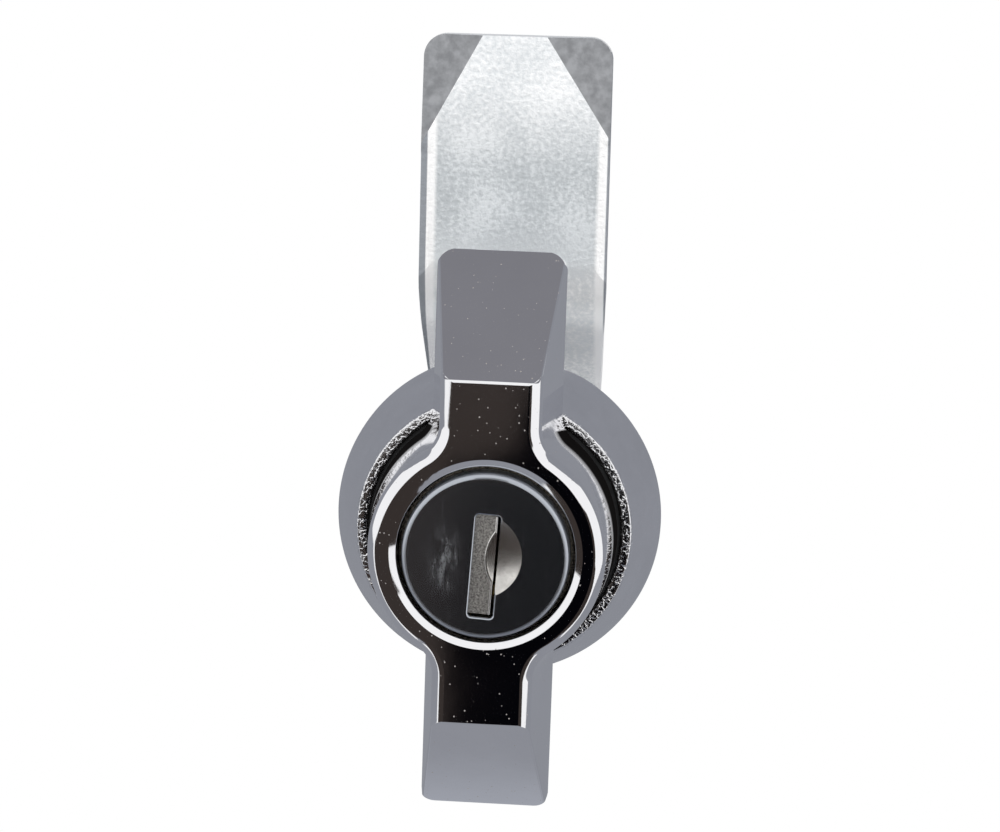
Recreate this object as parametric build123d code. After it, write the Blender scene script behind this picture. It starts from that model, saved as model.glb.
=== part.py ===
from build123d import *
import math
import os

# Keyed wing-handle cam latch.
# Every piece is drawn about the lock axis: local +Z points out of the panel to the user, local +Y up.
# stand_up() then turns the finished pieces, so that the panel's face is the plane Y = 0, the latch
# looks along -Y and the cam points along +Z. Lengths are in millimetres, angles in degrees.

# ---- Clearances ----
running_gap = 0.06      # radial, shaft or plug in its bore
thread_gap = 0.02       # radial, threads are plain cylinders at their pitch radius
loose_gap = 0.15        # radial, washers and rings on what they slip over
face_gap = 0.05         # between faces that slide on each other
seat_gap = 0.02         # pieces that are pushed home and stay there
lift_gap = 0.3          # under the handle's wings, over the base's rim

# ---- Panel ----
panel_room = 2.5        # sheet and paint between the base and the toothed washer

# ---- Base and threaded barrel ----
base_radius = 17.0
base_rim = 0.8          # upright rim at the panel
base_height = 8.6
base_top_radius = 14.1
base_edge_round = 0.6
recess_radius = 13.0    # round recess that the handle's skirt turns in
recess_chamfer = 0.3
recess_floor = 2.2
thread_radius = 10.55   # M22 x 1.5 at its pitch line
barrel_length = 16.6
barrel_flats = 19.8     # across the flats that stop the body turning in the panel
gasket_inner = 13.4
gasket_outer = 15.9
gasket_groove = 1.1
gasket_height = 1.5
seal_height = 1.0       # black ring between the base and the handle's skirt

# ---- Mounting nut and toothed washer ----
nut_flats = 27.0
nut_height = 6.0
nut_chamfer = 0.8
nut_chamfer_depth = 1.6
tooth_washer_thickness = 1.0
tooth_washer_radius = 14.2
tooth_count = 14
tooth_gap_width = 1.6
tooth_gap_depth = 1.6

# ---- Handle ----
face_height = 20.0      # front face above the panel
hub_face_radius = 11.7
hub_foot_radius = 12.7
hub_skirt_radius = 12.4
wing_half_length = 29.1
wing_crest = 17.4       # half length of the flat front face
wing_foot = 0.5         # upright land at the foot of the sloping ends
wing_half_width = 6.4   # at the underside
wing_draft = 7.7
wing_edge_round = 0.85
wing_root_round = 3.5
crest_round = 0.5
pocket_half_width = 3.6
pocket_start = 14.2     # from the axis
pocket_wall = 2.2
pocket_corner = 1.0
hub_floor = 1.4         # between the skirt's foot and the bolt
thrust_washer_thickness = 0.4

# ---- Shaft and stop ----
shaft_radius = 6.0
ring_side = 1.4         # square section of the shaft's sealing ring
ring_depth = 6.0        # behind the panel's face
square_size = 8.0
square_gap = 0.05
stop_thickness = 1.5
stop_radius = 10.2
stop_lug_inner = 7.6
stop_lug_angle = 36.0
stop_lug_height = 1.9
handle_travel = 90.0
stop_slack = 1.0        # each way

# ---- Cam ----
cam_thickness = 3.0
cam_half_width = 10.0
cam_reach = 49.7        # axis to tip
cam_offset = 8.0        # panel's face to the cam's gripping face
cam_crank_start = 21.1  # where the crank's slope would meet the blade's face
cam_blade_bend = 9.0    # inside radius of the bend at the blade
cam_root_bend = 1.6     # inside radius of the bend at the seat
cam_lean = 0.9          # the blade stands a little off square
cam_root_radius = 9.0
cam_shoulder = 22.5     # where the blade has its full width
cam_tip_round = 2.4
lead_in_side = 38.8     # height of the lead-in on the blade's sides
lead_in_top = 3.4       # half width left between the lead-ins at the tip
lead_in_depth = 1.3

# ---- Cam fixing ----
screw_radius = 2.7      # M6 at its pitch line
screw_length = 13.0
screw_run_out = 1.0     # hole beyond the screw's end
screw_head_flats = 10.0
screw_head_height = 4.0
screw_head_chamfer = 0.6
washer_bore = 3.2
flat_washer_radius = 7.5
flat_washer_thickness = 1.2
spring_washer_radius = 5.3
spring_washer_thickness = 1.5
spring_washer_split = 1.4
spring_washer_slant = 30.0

# ---- Lock cylinder ----
core_lean = -3.0        # the cylinder is pinned a little off upright
cylinder_radius = 8.65
mouth_radius = 9.6      # countersink where the cylinder's bore meets the front face
mouth_depth = 0.5
cylinder_pin_radius = 1.0
cylinder_pin_rise = 2.7 # above the handle's underside
cylinder_pin_bite = 0.85
cap_radius = 8.4
cap_thickness = 0.5
cap_proud = 0.6
cap_edge_round = 0.45
head_height = 2.0       # wide front of the plug, under the cap
plug_radius = 6.2
plug_land = 0.8         # solid metal at both ends of the row of wafers
keyway_width = 2.5
keyway_length = 10.4
keyway_floor = 1.8
slot_drop = 1.0         # the slot in the cap lies lower than the axis
dish_radius = 4.3       # round hollow beside the slot that guides the key in
dish_sagitta = 2.4
dish_depth = 0.45
tail_size = 4.4
clip_overhang = 0.9     # beyond the plug
clip_bite = 0.8         # depth of its groove
clip_thickness = 0.6
clip_opening = 50.0

# ---- Wafers ----
wafer_thickness = 0.9
wafer_pitch = 1.22
wafer_half_width = 3.0
wafer_window_width = 3.3
wafer_window_length = 8.2
wafer_throw = 0.9
wafer_gap = 0.05
ear_reach = 1.15        # ear that the wafer's spring pushes
ear_half_height = 0.4
spring_radius = 0.42
spring_bore = 0.2
spring_length = 3.1

# ---- Slot shutter ----
shutter_thickness = 0.6
shutter_gap = 0.1
shutter_side_gap = 0.28 # at the edge away from the hinge
shutter_foot_gap = 0.35 # at the lower end, which swings past the barrel
hinge_radius = 0.4
knuckle_radius = 0.65
hinge_bite = 0.7        # of the pin in the plug, beyond the slot
shutter_spring_length = 1.1
ledge_rise = 0.35       # rib along the flap's free edge
ledge_width = 0.25
ledge_bulge = 0.8       # how far the rib swells round the key's hollow
ledge_bulge_radius = 4.6

# ---- Locking bolt and its driver ----
bolt_width = 5.0
bolt_thickness = 1.6
bolt_inner_end = 2.6
bolt_tip_gap = 0.15     # inside the skirt when drawn back
bolt_travel = 1.5
bolt_notch_depth = 1.2
bolt_nose_round = 0.6
follower_radius = 1.0
follower_orbit = 4.5
driver_radius = 7.9
driver_gap = 0.2
driver_thickness = 1.4
key_travel = 90.0

# ---- Levels and places worked out from the sizes above ----
handle_underside = base_height + lift_gap
skirt_bottom = recess_floor + thrust_washer_thickness + face_gap
bolt_bottom = skirt_bottom + hub_floor
bolt_top = bolt_bottom + bolt_thickness
bolt_tip = hub_skirt_radius - bolt_tip_gap
driver_bottom = bolt_top + driver_gap
driver_top = driver_bottom + driver_thickness
plug_bottom = driver_top + face_gap
clip_bottom = plug_bottom + driver_gap
clip_top = clip_bottom + clip_thickness
cylinder_bottom = clip_top + face_gap
cap_front = face_height + cap_proud
cap_back = cap_front - cap_thickness
head_bottom = cap_back - head_height
cylinder_top = head_bottom - 2 * face_gap
head_radius = cap_radius - cap_thickness
hinge_x = -keyway_width / 2 - knuckle_radius
hinge_z = cap_back - shutter_gap - knuckle_radius
shutter_reach = keyway_width + 2 * knuckle_radius
wafer_zone_top = hinge_z - shutter_reach
wafer_zone_bottom = cylinder_bottom + plug_land
wafer_count = int((wafer_zone_top - wafer_zone_bottom) / wafer_pitch)
groove_radius = plug_radius + wafer_throw + 2 * loose_gap
nut_seat = panel_room + tooth_washer_thickness
shaft_end = barrel_length + 2 * face_gap
cam_seat = shaft_end + stop_thickness
cam_back = cam_seat + cam_thickness
square_end = cam_back - 2 * face_gap
screw_seat = cam_back + flat_washer_thickness + spring_washer_thickness
pocket_roof = face_height - pocket_wall


def rod(radius, bottom, top):
    return Pos(0, 0, (bottom + top) / 2) * Cylinder(radius, top - bottom)


def tube(outer, inner, bottom, top):
    return rod(outer, bottom, top) - rod(inner, bottom, top)


def block(x0, x1, y0, y1, z0, z1):
    centre = Pos((x0 + x1) / 2, (y0 + y1) / 2, (z0 + z1) / 2)
    return centre * Box(x1 - x0, y1 - y0, z1 - z0)


def square_bar(size, bottom, top):
    return block(-size / 2, size / 2, -size / 2, size / 2, bottom, top)


def upright_rod(radius, x, y0, y1, z):
    """A cylinder along Y between y0 and y1."""
    return Pos(x, (y0 + y1) / 2, z) * Rot(90, 0, 0) * Cylinder(radius, y1 - y0)


def turned(*points):
    """A solid of revolution from (radius, height) points."""
    return revolve(Plane.XZ * make_face(Polyline(*points, close=True)), Axis.Z)


def hexagon(flats, bottom, top):
    prism = extrude(RegularPolygon(flats / 2, 6, major_radius=False), top - bottom)
    return Pos(0, 0, bottom) * prism


def sector(outer, inner, start, angle, bottom, top):
    """Part of a ring, counter-clockwise from the start angle."""
    steps = [start + angle * share for share in (0, 0.5, 1)]
    outside = [Vector(outer, 0).rotate(Axis.Z, step) for step in steps]
    inside = [Vector(inner, 0).rotate(Axis.Z, step) for step in steps]
    outline = Curve() + [
        ThreePointArc(*outside),
        Line(outside[2], inside[2]),
        ThreePointArc(*reversed(inside)),
        Line(inside[0], outside[0]),
    ]
    return Pos(0, 0, bottom) * extrude(make_face(outline), top - bottom)


def rim_edges(part, radius, height):
    """The round edges of one radius at one height."""
    return [
        edge
        for edge in part.edges().filter_by(GeomType.CIRCLE)
        if abs(edge.radius - radius) < 0.01 and abs(edge.center().Z - height) < 0.01
    ]


def corner_at(face, place):
    """The corner of a flat outline that lies at the given place."""
    return face.vertices().sort_by_distance(Vector(*place))[0]


# ---------------------------------------------------------------- fixed to the panel


def mounting_body():
    """Conical base and threaded barrel in one casting."""
    base = turned(
        (0, 0),
        (base_radius, 0),
        (base_radius, base_rim),
        (base_top_radius, base_height),
        (0, base_height),
    )
    base = base - rod(recess_radius, recess_floor, base_height)
    base = fillet(rim_edges(base, base_top_radius, base_height), base_edge_round)
    base = chamfer(rim_edges(base, recess_radius, base_height), recess_chamfer)
    barrel = rod(thread_radius, -barrel_length, 0)
    half_flat = barrel_flats / 2
    barrel = barrel & block(-half_flat, half_flat, -base_radius, base_radius, -barrel_length, 0)
    body = base + barrel
    body = body - rod(shaft_radius + running_gap, -barrel_length, recess_floor)
    body = body - tube(gasket_outer, gasket_inner, 0, gasket_groove)
    for turn in (0, -handle_travel):
        body = body - Rot(0, 0, turn) * bolt_notch()
    return body - stop_sector()


def bolt_notch():
    """Pocket in the recess wall that the bolt's nose enters."""
    half = bolt_width / 2 + 2 * face_gap
    depth = recess_radius + bolt_notch_depth
    start = hub_skirt_radius - bolt_notch_depth
    return block(-half, half, -depth, -start, bolt_bottom - 2 * face_gap, bolt_top + 2 * face_gap)


def stop_sector():
    """Cut in the barrel's rear rim that the stop washer's lug travels in."""
    swing = stop_lug_angle + handle_travel + 2 * stop_slack
    start = 90 + stop_lug_angle / 2 + stop_slack - swing
    depth = stop_lug_height + face_gap
    inner = stop_lug_inner - loose_gap
    return sector(base_radius, inner, start, swing, -barrel_length, -barrel_length + depth)


def panel_gasket():
    outer = gasket_outer - face_gap
    inner = gasket_inner + face_gap
    return tube(outer, inner, gasket_groove - gasket_height, gasket_groove)


def tooth_washer():
    washer = tube(tooth_washer_radius, thread_radius + loose_gap, -nut_seat, -panel_room)
    reach = tooth_washer_radius - tooth_gap_depth
    half_gap = tooth_gap_width / 2
    gap = block(reach, base_radius, -half_gap, half_gap, -nut_seat, -panel_room)
    for spot in PolarLocations(0, tooth_count):
        washer = washer - spot * gap
    return washer


def mounting_nut():
    bottom = -nut_seat - nut_height
    corner = nut_flats / math.sqrt(3)
    crown = turned(
        (0, bottom),
        (corner - nut_chamfer_depth, bottom),
        (corner, bottom + nut_chamfer),
        (corner, -nut_seat - nut_chamfer),
        (corner - nut_chamfer_depth, -nut_seat),
        (0, -nut_seat),
    )
    nut = hexagon(nut_flats, bottom, -nut_seat) & crown
    return nut - rod(thread_radius + thread_gap, bottom, -nut_seat)


def handle_seal():
    top = base_height - recess_chamfer - face_gap
    return tube(recess_radius - seat_gap, hub_skirt_radius + running_gap, top - seal_height, top)


# ---------------------------------------------------------------- turns with the handle


def wing_blank():
    """Both wings as one drafted bar with sloping ends."""
    plan = Rectangle(2 * wing_half_width, 2 * wing_half_length)
    height = face_height - handle_underside
    bar = Pos(0, 0, handle_underside) * extrude(plan, height, taper=wing_draft)
    foot = handle_underside + wing_foot
    side = make_face(
        Polyline(
            (-wing_half_length, handle_underside),
            (wing_half_length, handle_underside),
            (wing_half_length, foot),
            (wing_crest, face_height),
            (-wing_crest, face_height),
            (-wing_half_length, foot),
            close=True,
        )
    )
    side = fillet(side.vertices().group_by(Axis.Y)[-1], crest_round)
    return bar & extrude(Plane.YZ * side, hub_foot_radius, both=True)


def hub_blank():
    return turned(
        (0, handle_underside),
        (hub_foot_radius, handle_underside),
        (hub_face_radius, face_height),
        (0, face_height),
    )


def rounded_grip():
    """Hub and wings with their cast rounds."""
    grip = wing_blank() + hub_blank()
    roots = [
        edge
        for edge in grip.edges()
        if abs(edge.tangent_at(0.5).Z) > 0.9 and abs(edge.center().Y) < hub_foot_radius
    ]
    grip = fillet(roots, wing_root_round)
    front = grip.faces().sort_by(Axis.Z)[-1]
    clear_of_crest = wing_crest - 2 * crest_round
    rim = [
        edge for edge in front.outer_wire().edges() if abs(edge.center().Y) < clear_of_crest
    ]
    ends = [
        edge
        for edge in grip.edges()
        if abs(edge.center().Y) > clear_of_crest
        and abs(edge.center().X) > wing_half_width / 2
        and edge.center().Z > handle_underside + 0.01
    ]
    return fillet(rim + ends, wing_edge_round)


def wing_pocket():
    """Cored space under one wing, open to the panel."""
    slope = (face_height - handle_underside) / (wing_half_length - wing_crest)
    end = wing_half_length - pocket_wall
    side = make_face(
        Polyline(
            (pocket_start, handle_underside),
            (end, handle_underside),
            (end - (pocket_roof - handle_underside) / slope, pocket_roof),
            (pocket_start, pocket_roof),
            close=True,
        )
    )
    pocket = extrude(Plane.YZ * side, pocket_half_width, both=True)
    roof_edges = [
        edge
        for edge in pocket.edges()
        if abs(edge.center().X) > pocket_half_width / 2
        and edge.center().Z > handle_underside + 0.01
    ]
    return fillet(roof_edges, pocket_corner)


def cylinder_seat():
    """Bore for the lock cylinder, its countersunk mouth, and the driver's well below it."""
    bore = rod(cylinder_radius + seat_gap, driver_bottom, face_height)
    mouth = turned(
        (0, face_height - mouth_depth),
        (cylinder_radius, face_height - mouth_depth),
        (mouth_radius, face_height),
        (0, face_height),
    )
    return bore + mouth + rod(driver_radius + loose_gap, bolt_top, driver_bottom)


def bolt_channel():
    half = bolt_width / 2 + face_gap
    inner_end = bolt_inner_end + face_gap
    outside = hub_skirt_radius + bolt_notch_depth
    return block(-half, half, -outside, inner_end, bolt_bottom - face_gap, bolt_top + face_gap)


def ring_groove():
    bottom = -ring_depth - ring_side / 2 - face_gap
    top = -ring_depth + ring_side / 2 + face_gap
    return tube(shaft_radius + running_gap, shaft_radius - ring_side, bottom, top)


def cylinder_pin(gap=0.0):
    """Pin from the upper wing's pocket into the lock cylinder's side."""
    start = cylinder_radius - cylinder_pin_bite - gap
    height = handle_underside + cylinder_pin_rise
    return upright_rod(cylinder_pin_radius + gap, 0, start, pocket_start, height)


def wing_handle():
    """Hub, wings, skirt, shaft and square in one casting."""
    handle = rounded_grip() + rod(hub_skirt_radius, skirt_bottom, handle_underside)
    handle = handle + rod(shaft_radius, -shaft_end, skirt_bottom)
    handle = handle + square_bar(square_size, -square_end, -shaft_end)
    handle = handle - cylinder_seat() - bolt_channel() - ring_groove()
    for turn in (0, 180):
        handle = handle - Rot(0, 0, turn) * wing_pocket()
    hole_top = -screw_seat + screw_length + screw_run_out
    handle = handle - rod(screw_radius + thread_gap, -square_end, hole_top)
    return handle - cylinder_pin(seat_gap)


def thrust_washer():
    outer = recess_radius - 2 * loose_gap
    top = recess_floor + thrust_washer_thickness
    return tube(outer, shaft_radius + loose_gap, recess_floor, top)


def shaft_ring():
    inner = shaft_radius - ring_side + seat_gap
    return tube(shaft_radius, inner, -ring_depth - ring_side / 2, -ring_depth + ring_side / 2)


def stop_washer():
    """Washer on the square whose lug strikes the ends of the barrel's cut."""
    washer = rod(stop_radius, -cam_seat, -shaft_end)
    start = 90 - stop_lug_angle / 2
    lug_top = -barrel_length + stop_lug_height
    lug = sector(stop_radius, stop_lug_inner, start, stop_lug_angle, -shaft_end, lug_top)
    hole = square_bar(square_size + 2 * square_gap, -cam_seat, -shaft_end)
    return washer + lug - hole


def cam():
    """Cranked blade of bent sheet, its gripping face towards the panel."""
    strip = extrude(Plane.YZ * cam_profile(), cam_half_width, both=True)
    blade = (strip & cam_outline()) - lead_in(1) - lead_in(-1)
    return Rot(0, 0, cam_lean) * blade - square_bar(square_size + 2 * square_gap, -cam_back, -cam_seat)


def cam_profile():
    """Side view of the bent sheet: seat, 45 degree crank, blade."""
    crank_end = cam_crank_start - (cam_seat - cam_offset)
    shift = cam_thickness * math.tan(math.radians(22.5))
    seat_front = (crank_end, -cam_seat)
    seat_back = (crank_end + shift, -cam_back)
    blade_front = (cam_crank_start, -cam_offset)
    blade_back = (cam_crank_start + shift, -cam_offset - cam_thickness)
    bends = {
        seat_front: cam_root_bend,
        seat_back: cam_root_bend + cam_thickness,
        blade_front: cam_blade_bend + cam_thickness,
        blade_back: cam_blade_bend,
    }
    side = make_face(
        Polyline(
            (-cam_root_radius, -cam_seat),
            seat_front,
            blade_front,
            (cam_reach, -cam_offset),
            (cam_reach, -cam_offset - cam_thickness),
            blade_back,
            seat_back,
            (-cam_root_radius, -cam_back),
            close=True,
        )
    )
    for corner, radius in bends.items():
        side = fillet(corner_at(side, corner), radius)
    return side


def cam_outline():
    """Front view of the cam: round root, widening neck, blade with rounded tip."""
    neck = make_face(
        Polyline(
            (-cam_root_radius, 0),
            (-cam_half_width, cam_shoulder),
            (-cam_half_width, cam_reach),
            (cam_half_width, cam_reach),
            (cam_half_width, cam_shoulder),
            (cam_root_radius, 0),
            close=True,
        )
    )
    tips = neck.vertices().group_by(Axis.Y)[-1]
    blade = Pos(0, 0, -cam_back) * extrude(fillet(tips, cam_tip_round), cam_back)
    return rod(cam_root_radius, -cam_back, 0) + blade


def lead_in(side):
    """Wedge taken off the gripping face at one corner of the tip."""
    start = Vector(side * cam_half_width, lead_in_side, -cam_offset)
    tip = Vector(side * lead_in_top, cam_reach, -cam_offset)
    along = (tip - start).normalized()
    outwards = Vector(side * along.Y, -side * along.X, 0)
    run = (Vector(side * cam_half_width, cam_reach, -cam_offset) - start).dot(outwards)
    tilt = math.degrees(math.atan2(lead_in_depth, run))
    crease = Plane(origin=start, x_dir=along, z_dir=Vector(0, 0, 1))
    length = 4 * (tip - start).length
    slab = Pos(0, 0, cam_thickness / 2) * Box(length, length, cam_thickness)
    return crease * Rot(side * tilt, 0, 0) * slab


def flat_washer():
    return tube(flat_washer_radius, washer_bore, -cam_back - flat_washer_thickness, -cam_back)


def spring_washer():
    """Split washer, the split slanting."""
    top = -cam_back - flat_washer_thickness
    washer = tube(spring_washer_radius, washer_bore, -screw_seat, top)
    split = Box(spring_washer_split, 2 * spring_washer_radius, 4 * spring_washer_thickness)
    split = Rot(0, spring_washer_slant, 0) * split
    return washer - Pos(0, -spring_washer_radius, (top - screw_seat) / 2) * split


def cam_screw():
    bottom = -screw_seat - screw_head_height
    corner = screw_head_flats / math.sqrt(3)
    crown = turned(
        (0, bottom),
        (corner - 2 * screw_head_chamfer, bottom),
        (corner, bottom + screw_head_chamfer),
        (corner, -screw_seat),
        (0, -screw_seat),
    )
    head = hexagon(screw_head_flats, bottom, -screw_seat) & crown
    return head + rod(screw_radius, -screw_seat, -screw_seat + screw_length)


# ---------------------------------------------------------------- lock cylinder, drawn upright


def wafer_floors():
    """Underside of each wafer, evenly spaced in the wafer zone."""
    first = wafer_zone_bottom + (wafer_pitch - wafer_thickness) / 2
    return [first + wafer_pitch * n for n in range(wafer_count)]


def wafer_turn(n):
    """Every other wafer is turned over, and pushed the other way."""
    return Rot(0, 0, 180 * (n % 2))


def cylinder_barrel():
    """Fixed sleeve with grooves for the wafers at both places of the key."""
    body = tube(cylinder_radius, plug_radius + running_gap, cylinder_bottom, cylinder_top)
    half = wafer_half_width + 3 * wafer_gap
    groove = block(-half, half, -groove_radius, groove_radius, wafer_zone_bottom, wafer_zone_top)
    for turn in (0, key_travel):
        body = body - Rot(0, 0, turn) * groove
    return Rot(0, 0, core_lean) * body - cylinder_pin(seat_gap)


def plug():
    """Turning core: wide head, shank with wafer slots, square tail."""
    body = rod(head_radius - seat_gap, head_bottom, cap_back - seat_gap)
    body = body + rod(plug_radius, plug_bottom, head_bottom)
    body = body + square_bar(tail_size, driver_bottom, plug_bottom)
    body = body - keyway() - shutter_well()
    body = body - tube(plug_radius + clip_overhang, plug_radius - clip_bite, clip_bottom, clip_top)
    for n, floor in enumerate(wafer_floors()):
        body = body - wafer_turn(n) * wafer_slot(floor)
    return body


def keyway():
    half_width = keyway_width / 2
    half_length = keyway_length / 2
    floor = plug_bottom + keyway_floor
    return block(-half_width, half_width, -half_length, half_length, floor, cap_front)


def wafer_slot(floor):
    """Slot across the plug, with a side pocket for the wafer's ear and spring."""
    half = wafer_half_width + wafer_gap
    low = floor - wafer_gap
    high = floor + wafer_thickness + wafer_gap
    slot = block(-half, half, -plug_radius, plug_radius, low, high)
    side = wafer_half_width + ear_reach + wafer_gap
    start = -ear_half_height - face_gap - spring_length
    end = ear_half_height + wafer_throw + loose_gap
    return slot + block(0, side, start, end, low, high)


def at_slot(piece):
    """From the axis down to the middle of the slot."""
    return Pos(0, -slot_drop, 0) * piece


def key_slot(left):
    """The slot's outline from the shutter's well to the front."""
    half_length = keyway_length / 2
    slot = block(left, keyway_width / 2, -half_length, half_length, wafer_zone_top, cap_front)
    return at_slot(slot)


def shutter_well():
    """Room behind the cap for the open flap, and the bore of its hinge pin."""
    reach = keyway_length / 2 + hinge_bite + shutter_gap
    bore = upright_rod(hinge_radius + seat_gap, hinge_x, -reach, reach, hinge_z)
    return key_slot(hinge_x - knuckle_radius - shutter_gap) + at_slot(bore)


def key_hollow():
    """Ball that leaves the shallow round hollow to the right of the slot."""
    ball = (dish_radius**2 + dish_depth**2) / (2 * dish_depth)
    x = keyway_width / 2 + dish_sagitta - dish_radius
    return Pos(x, 0, cap_front + ball - dish_depth) * Sphere(ball)


def plug_cap():
    """Pressed cap with a rolled rim, the key slot and the dish that guides the key."""
    skirt_foot = head_bottom + face_gap
    cap = rod(cap_radius, skirt_foot, cap_front)
    cap = fillet(rim_edges(cap, cap_radius, cap_front), cap_edge_round)
    cap = cap - rod(head_radius, skirt_foot, cap_back) - key_slot(-keyway_width / 2)
    right = block(keyway_width / 2, cap_radius, -cap_radius, cap_radius, cap_back, cap_front)
    return cap - (key_hollow() & right)


def plug_clip():
    """Snap ring that holds the plug in its barrel, open on one side."""
    outer = plug_radius + clip_overhang
    inner = plug_radius - clip_bite + seat_gap
    bottom = clip_bottom + seat_gap
    top = clip_top - seat_gap
    opening = sector(2 * outer, inner / 2, 0, clip_opening, bottom, top)
    return tube(outer, inner, bottom, top) - opening


def shutter_pin():
    reach = keyway_length / 2 + hinge_bite
    return at_slot(upright_rod(hinge_radius, hinge_x, -reach, reach, hinge_z))


def shutter_spring():
    """Coil round the upper end of the hinge pin, as a sleeve of the coil's size."""
    top = keyway_length / 2 - face_gap
    bottom = top - shutter_spring_length
    coil = upright_rod(knuckle_radius - face_gap, hinge_x, bottom, top, hinge_z)
    return at_slot(coil - upright_rod(hinge_radius + seat_gap, hinge_x, bottom, top, hinge_z))


def slot_shutter():
    """Flap with a knuckle, hinged beside the slot, that closes it from inside."""
    bottom = -keyway_length / 2 + shutter_foot_gap
    top = keyway_length / 2 - shutter_gap
    knuckle_top = top - shutter_spring_length
    right = keyway_width / 2 - shutter_side_gap
    front = hinge_z + knuckle_radius
    back = front - shutter_thickness
    flap = block(hinge_x, right, bottom, knuckle_top, back, front)
    flap = flap + block(-keyway_width / 2, right, knuckle_top, top, back, front)
    flap = flap + upright_rod(knuckle_radius, hinge_x, bottom, knuckle_top, hinge_z)
    flap = flap + shutter_ledge(right, bottom, top, front)
    bore_radius = hinge_radius + running_gap / 2
    flap = flap - upright_rod(bore_radius, hinge_x, bottom, knuckle_top, hinge_z)
    return at_slot(flap) - key_hollow()


def shutter_ledge(right, bottom, top, front):
    """Raised rib along the flap's free edge that swells beside the key's hollow."""
    crest = front + ledge_rise
    left = right - ledge_width
    ledge = block(left, right, bottom, top, front, crest)
    swell = Pos(left - ledge_bulge + ledge_bulge_radius, slot_drop, 0)
    swell = swell * rod(ledge_bulge_radius, front, crest)
    half = ledge_bulge_radius
    return ledge + (swell & block(left - ledge_bulge, right, bottom, half, front, crest))


def wafer(floor):
    """Plate with a window for the key, ends to the plug's round, and an ear for its spring."""
    top = floor + wafer_thickness
    half = wafer_half_width
    plate = rod(plug_radius - running_gap, floor, top)
    plate = plate & block(-half, half, -plug_radius, plug_radius, floor, top)
    plate = plate + block(0, half + ear_reach, -ear_half_height, ear_half_height, floor, top)
    half_width = wafer_window_width / 2
    half_length = wafer_window_length / 2
    return plate - block(-half_width, half_width, -half_length, half_length, floor, top)


def wafer_set(first):
    floors = wafer_floors()
    return Compound([wafer_turn(n) * wafer(floors[n]) for n in range(first, wafer_count, 2)])


def wafer_spring(floor):
    """Coil under the wafer's ear, as a sleeve of the coil's size."""
    x = wafer_half_width + ear_reach / 2
    end = -ear_half_height - face_gap
    middle = floor + wafer_thickness / 2
    coil = upright_rod(spring_radius, x, end - spring_length, end, middle)
    return coil - upright_rod(spring_bore, x, end - spring_length, end, middle)


def wafer_springs():
    return Compound([wafer_turn(n) * wafer_spring(f) for n, f in enumerate(wafer_floors())])


# ---------------------------------------------------------------- locking bolt


def bolt_driver():
    """Disc on the plug's tail with the spiral slot that drives the bolt."""
    disc = rod(driver_radius, driver_bottom, driver_top)
    route = [
        Vector(follower_orbit + bolt_travel * share, 0).rotate(Axis.Z, -90 + key_travel * share)
        for share in (0, 0.5, 1)
    ]
    path = SlotArc(ThreePointArc(*route), 2 * (follower_radius + face_gap))
    slot = Pos(0, 0, driver_bottom) * extrude(path, driver_thickness)
    hole = square_bar(tail_size + 2 * seat_gap, driver_bottom, driver_top)
    return disc - slot - Rot(0, 0, core_lean) * hole


def locking_bolt():
    half = bolt_width / 2
    inner_end = bolt_inner_end - bolt_travel
    bolt = block(-half, half, -bolt_tip, inner_end, bolt_bottom, bolt_top)
    nose = bolt.edges().filter_by(Axis.Z).group_by(Axis.Y)[0]
    bolt = fillet(nose, bolt_nose_round)
    hole = rod(follower_radius + seat_gap, bolt_bottom, bolt_top)
    return bolt - Pos(0, -follower_orbit, 0) * hole


def follower_pin():
    pin = rod(follower_radius, bolt_bottom, driver_top - seat_gap)
    return Pos(0, -follower_orbit, 0) * pin


# ---------------------------------------------------------------- all pieces


def lean(piece):
    return Rot(0, 0, core_lean) * piece


def stand_up(piece):
    """Local +Z becomes -Y, local +Y becomes +Z."""
    return Rot(90, 0, 0) * piece


def all_pieces():
    return {
        "mounting_body": mounting_body(),
        "panel_gasket": panel_gasket(),
        "tooth_washer": tooth_washer(),
        "mounting_nut": mounting_nut(),
        "handle_seal": handle_seal(),
        "wing_handle": wing_handle(),
        "thrust_washer": thrust_washer(),
        "shaft_ring": shaft_ring(),
        "stop_washer": stop_washer(),
        "cam": cam(),
        "flat_washer": flat_washer(),
        "spring_washer": spring_washer(),
        "cam_screw": cam_screw(),
        "cylinder_barrel": cylinder_barrel(),
        "cylinder_pin": cylinder_pin(),
        "plug": lean(plug()),
        "plug_cap": lean(plug_cap()),
        "plug_clip": lean(plug_clip()),
        "bolt_driver": bolt_driver(),
        "shutter_pin": lean(shutter_pin()),
        "shutter_spring": lean(shutter_spring()),
        "slot_shutter": lean(slot_shutter()),
        "wafers_up": lean(wafer_set(0)),
        "wafers_down": lean(wafer_set(1)),
        "wafer_springs": lean(wafer_springs()),
        "locking_bolt": locking_bolt(),
        "follower_pin": follower_pin(),
    }


os.makedirs("parts", exist_ok=True)
for name, piece in all_pieces().items():
    export_step(stand_up(piece), f"parts/{name}.step")
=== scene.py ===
import logging
import math
from dataclasses import dataclass
from enum import Enum
from typing import Callable, Iterable, Sequence

import bmesh
import bpy
from mathutils import Matrix, Vector


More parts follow.
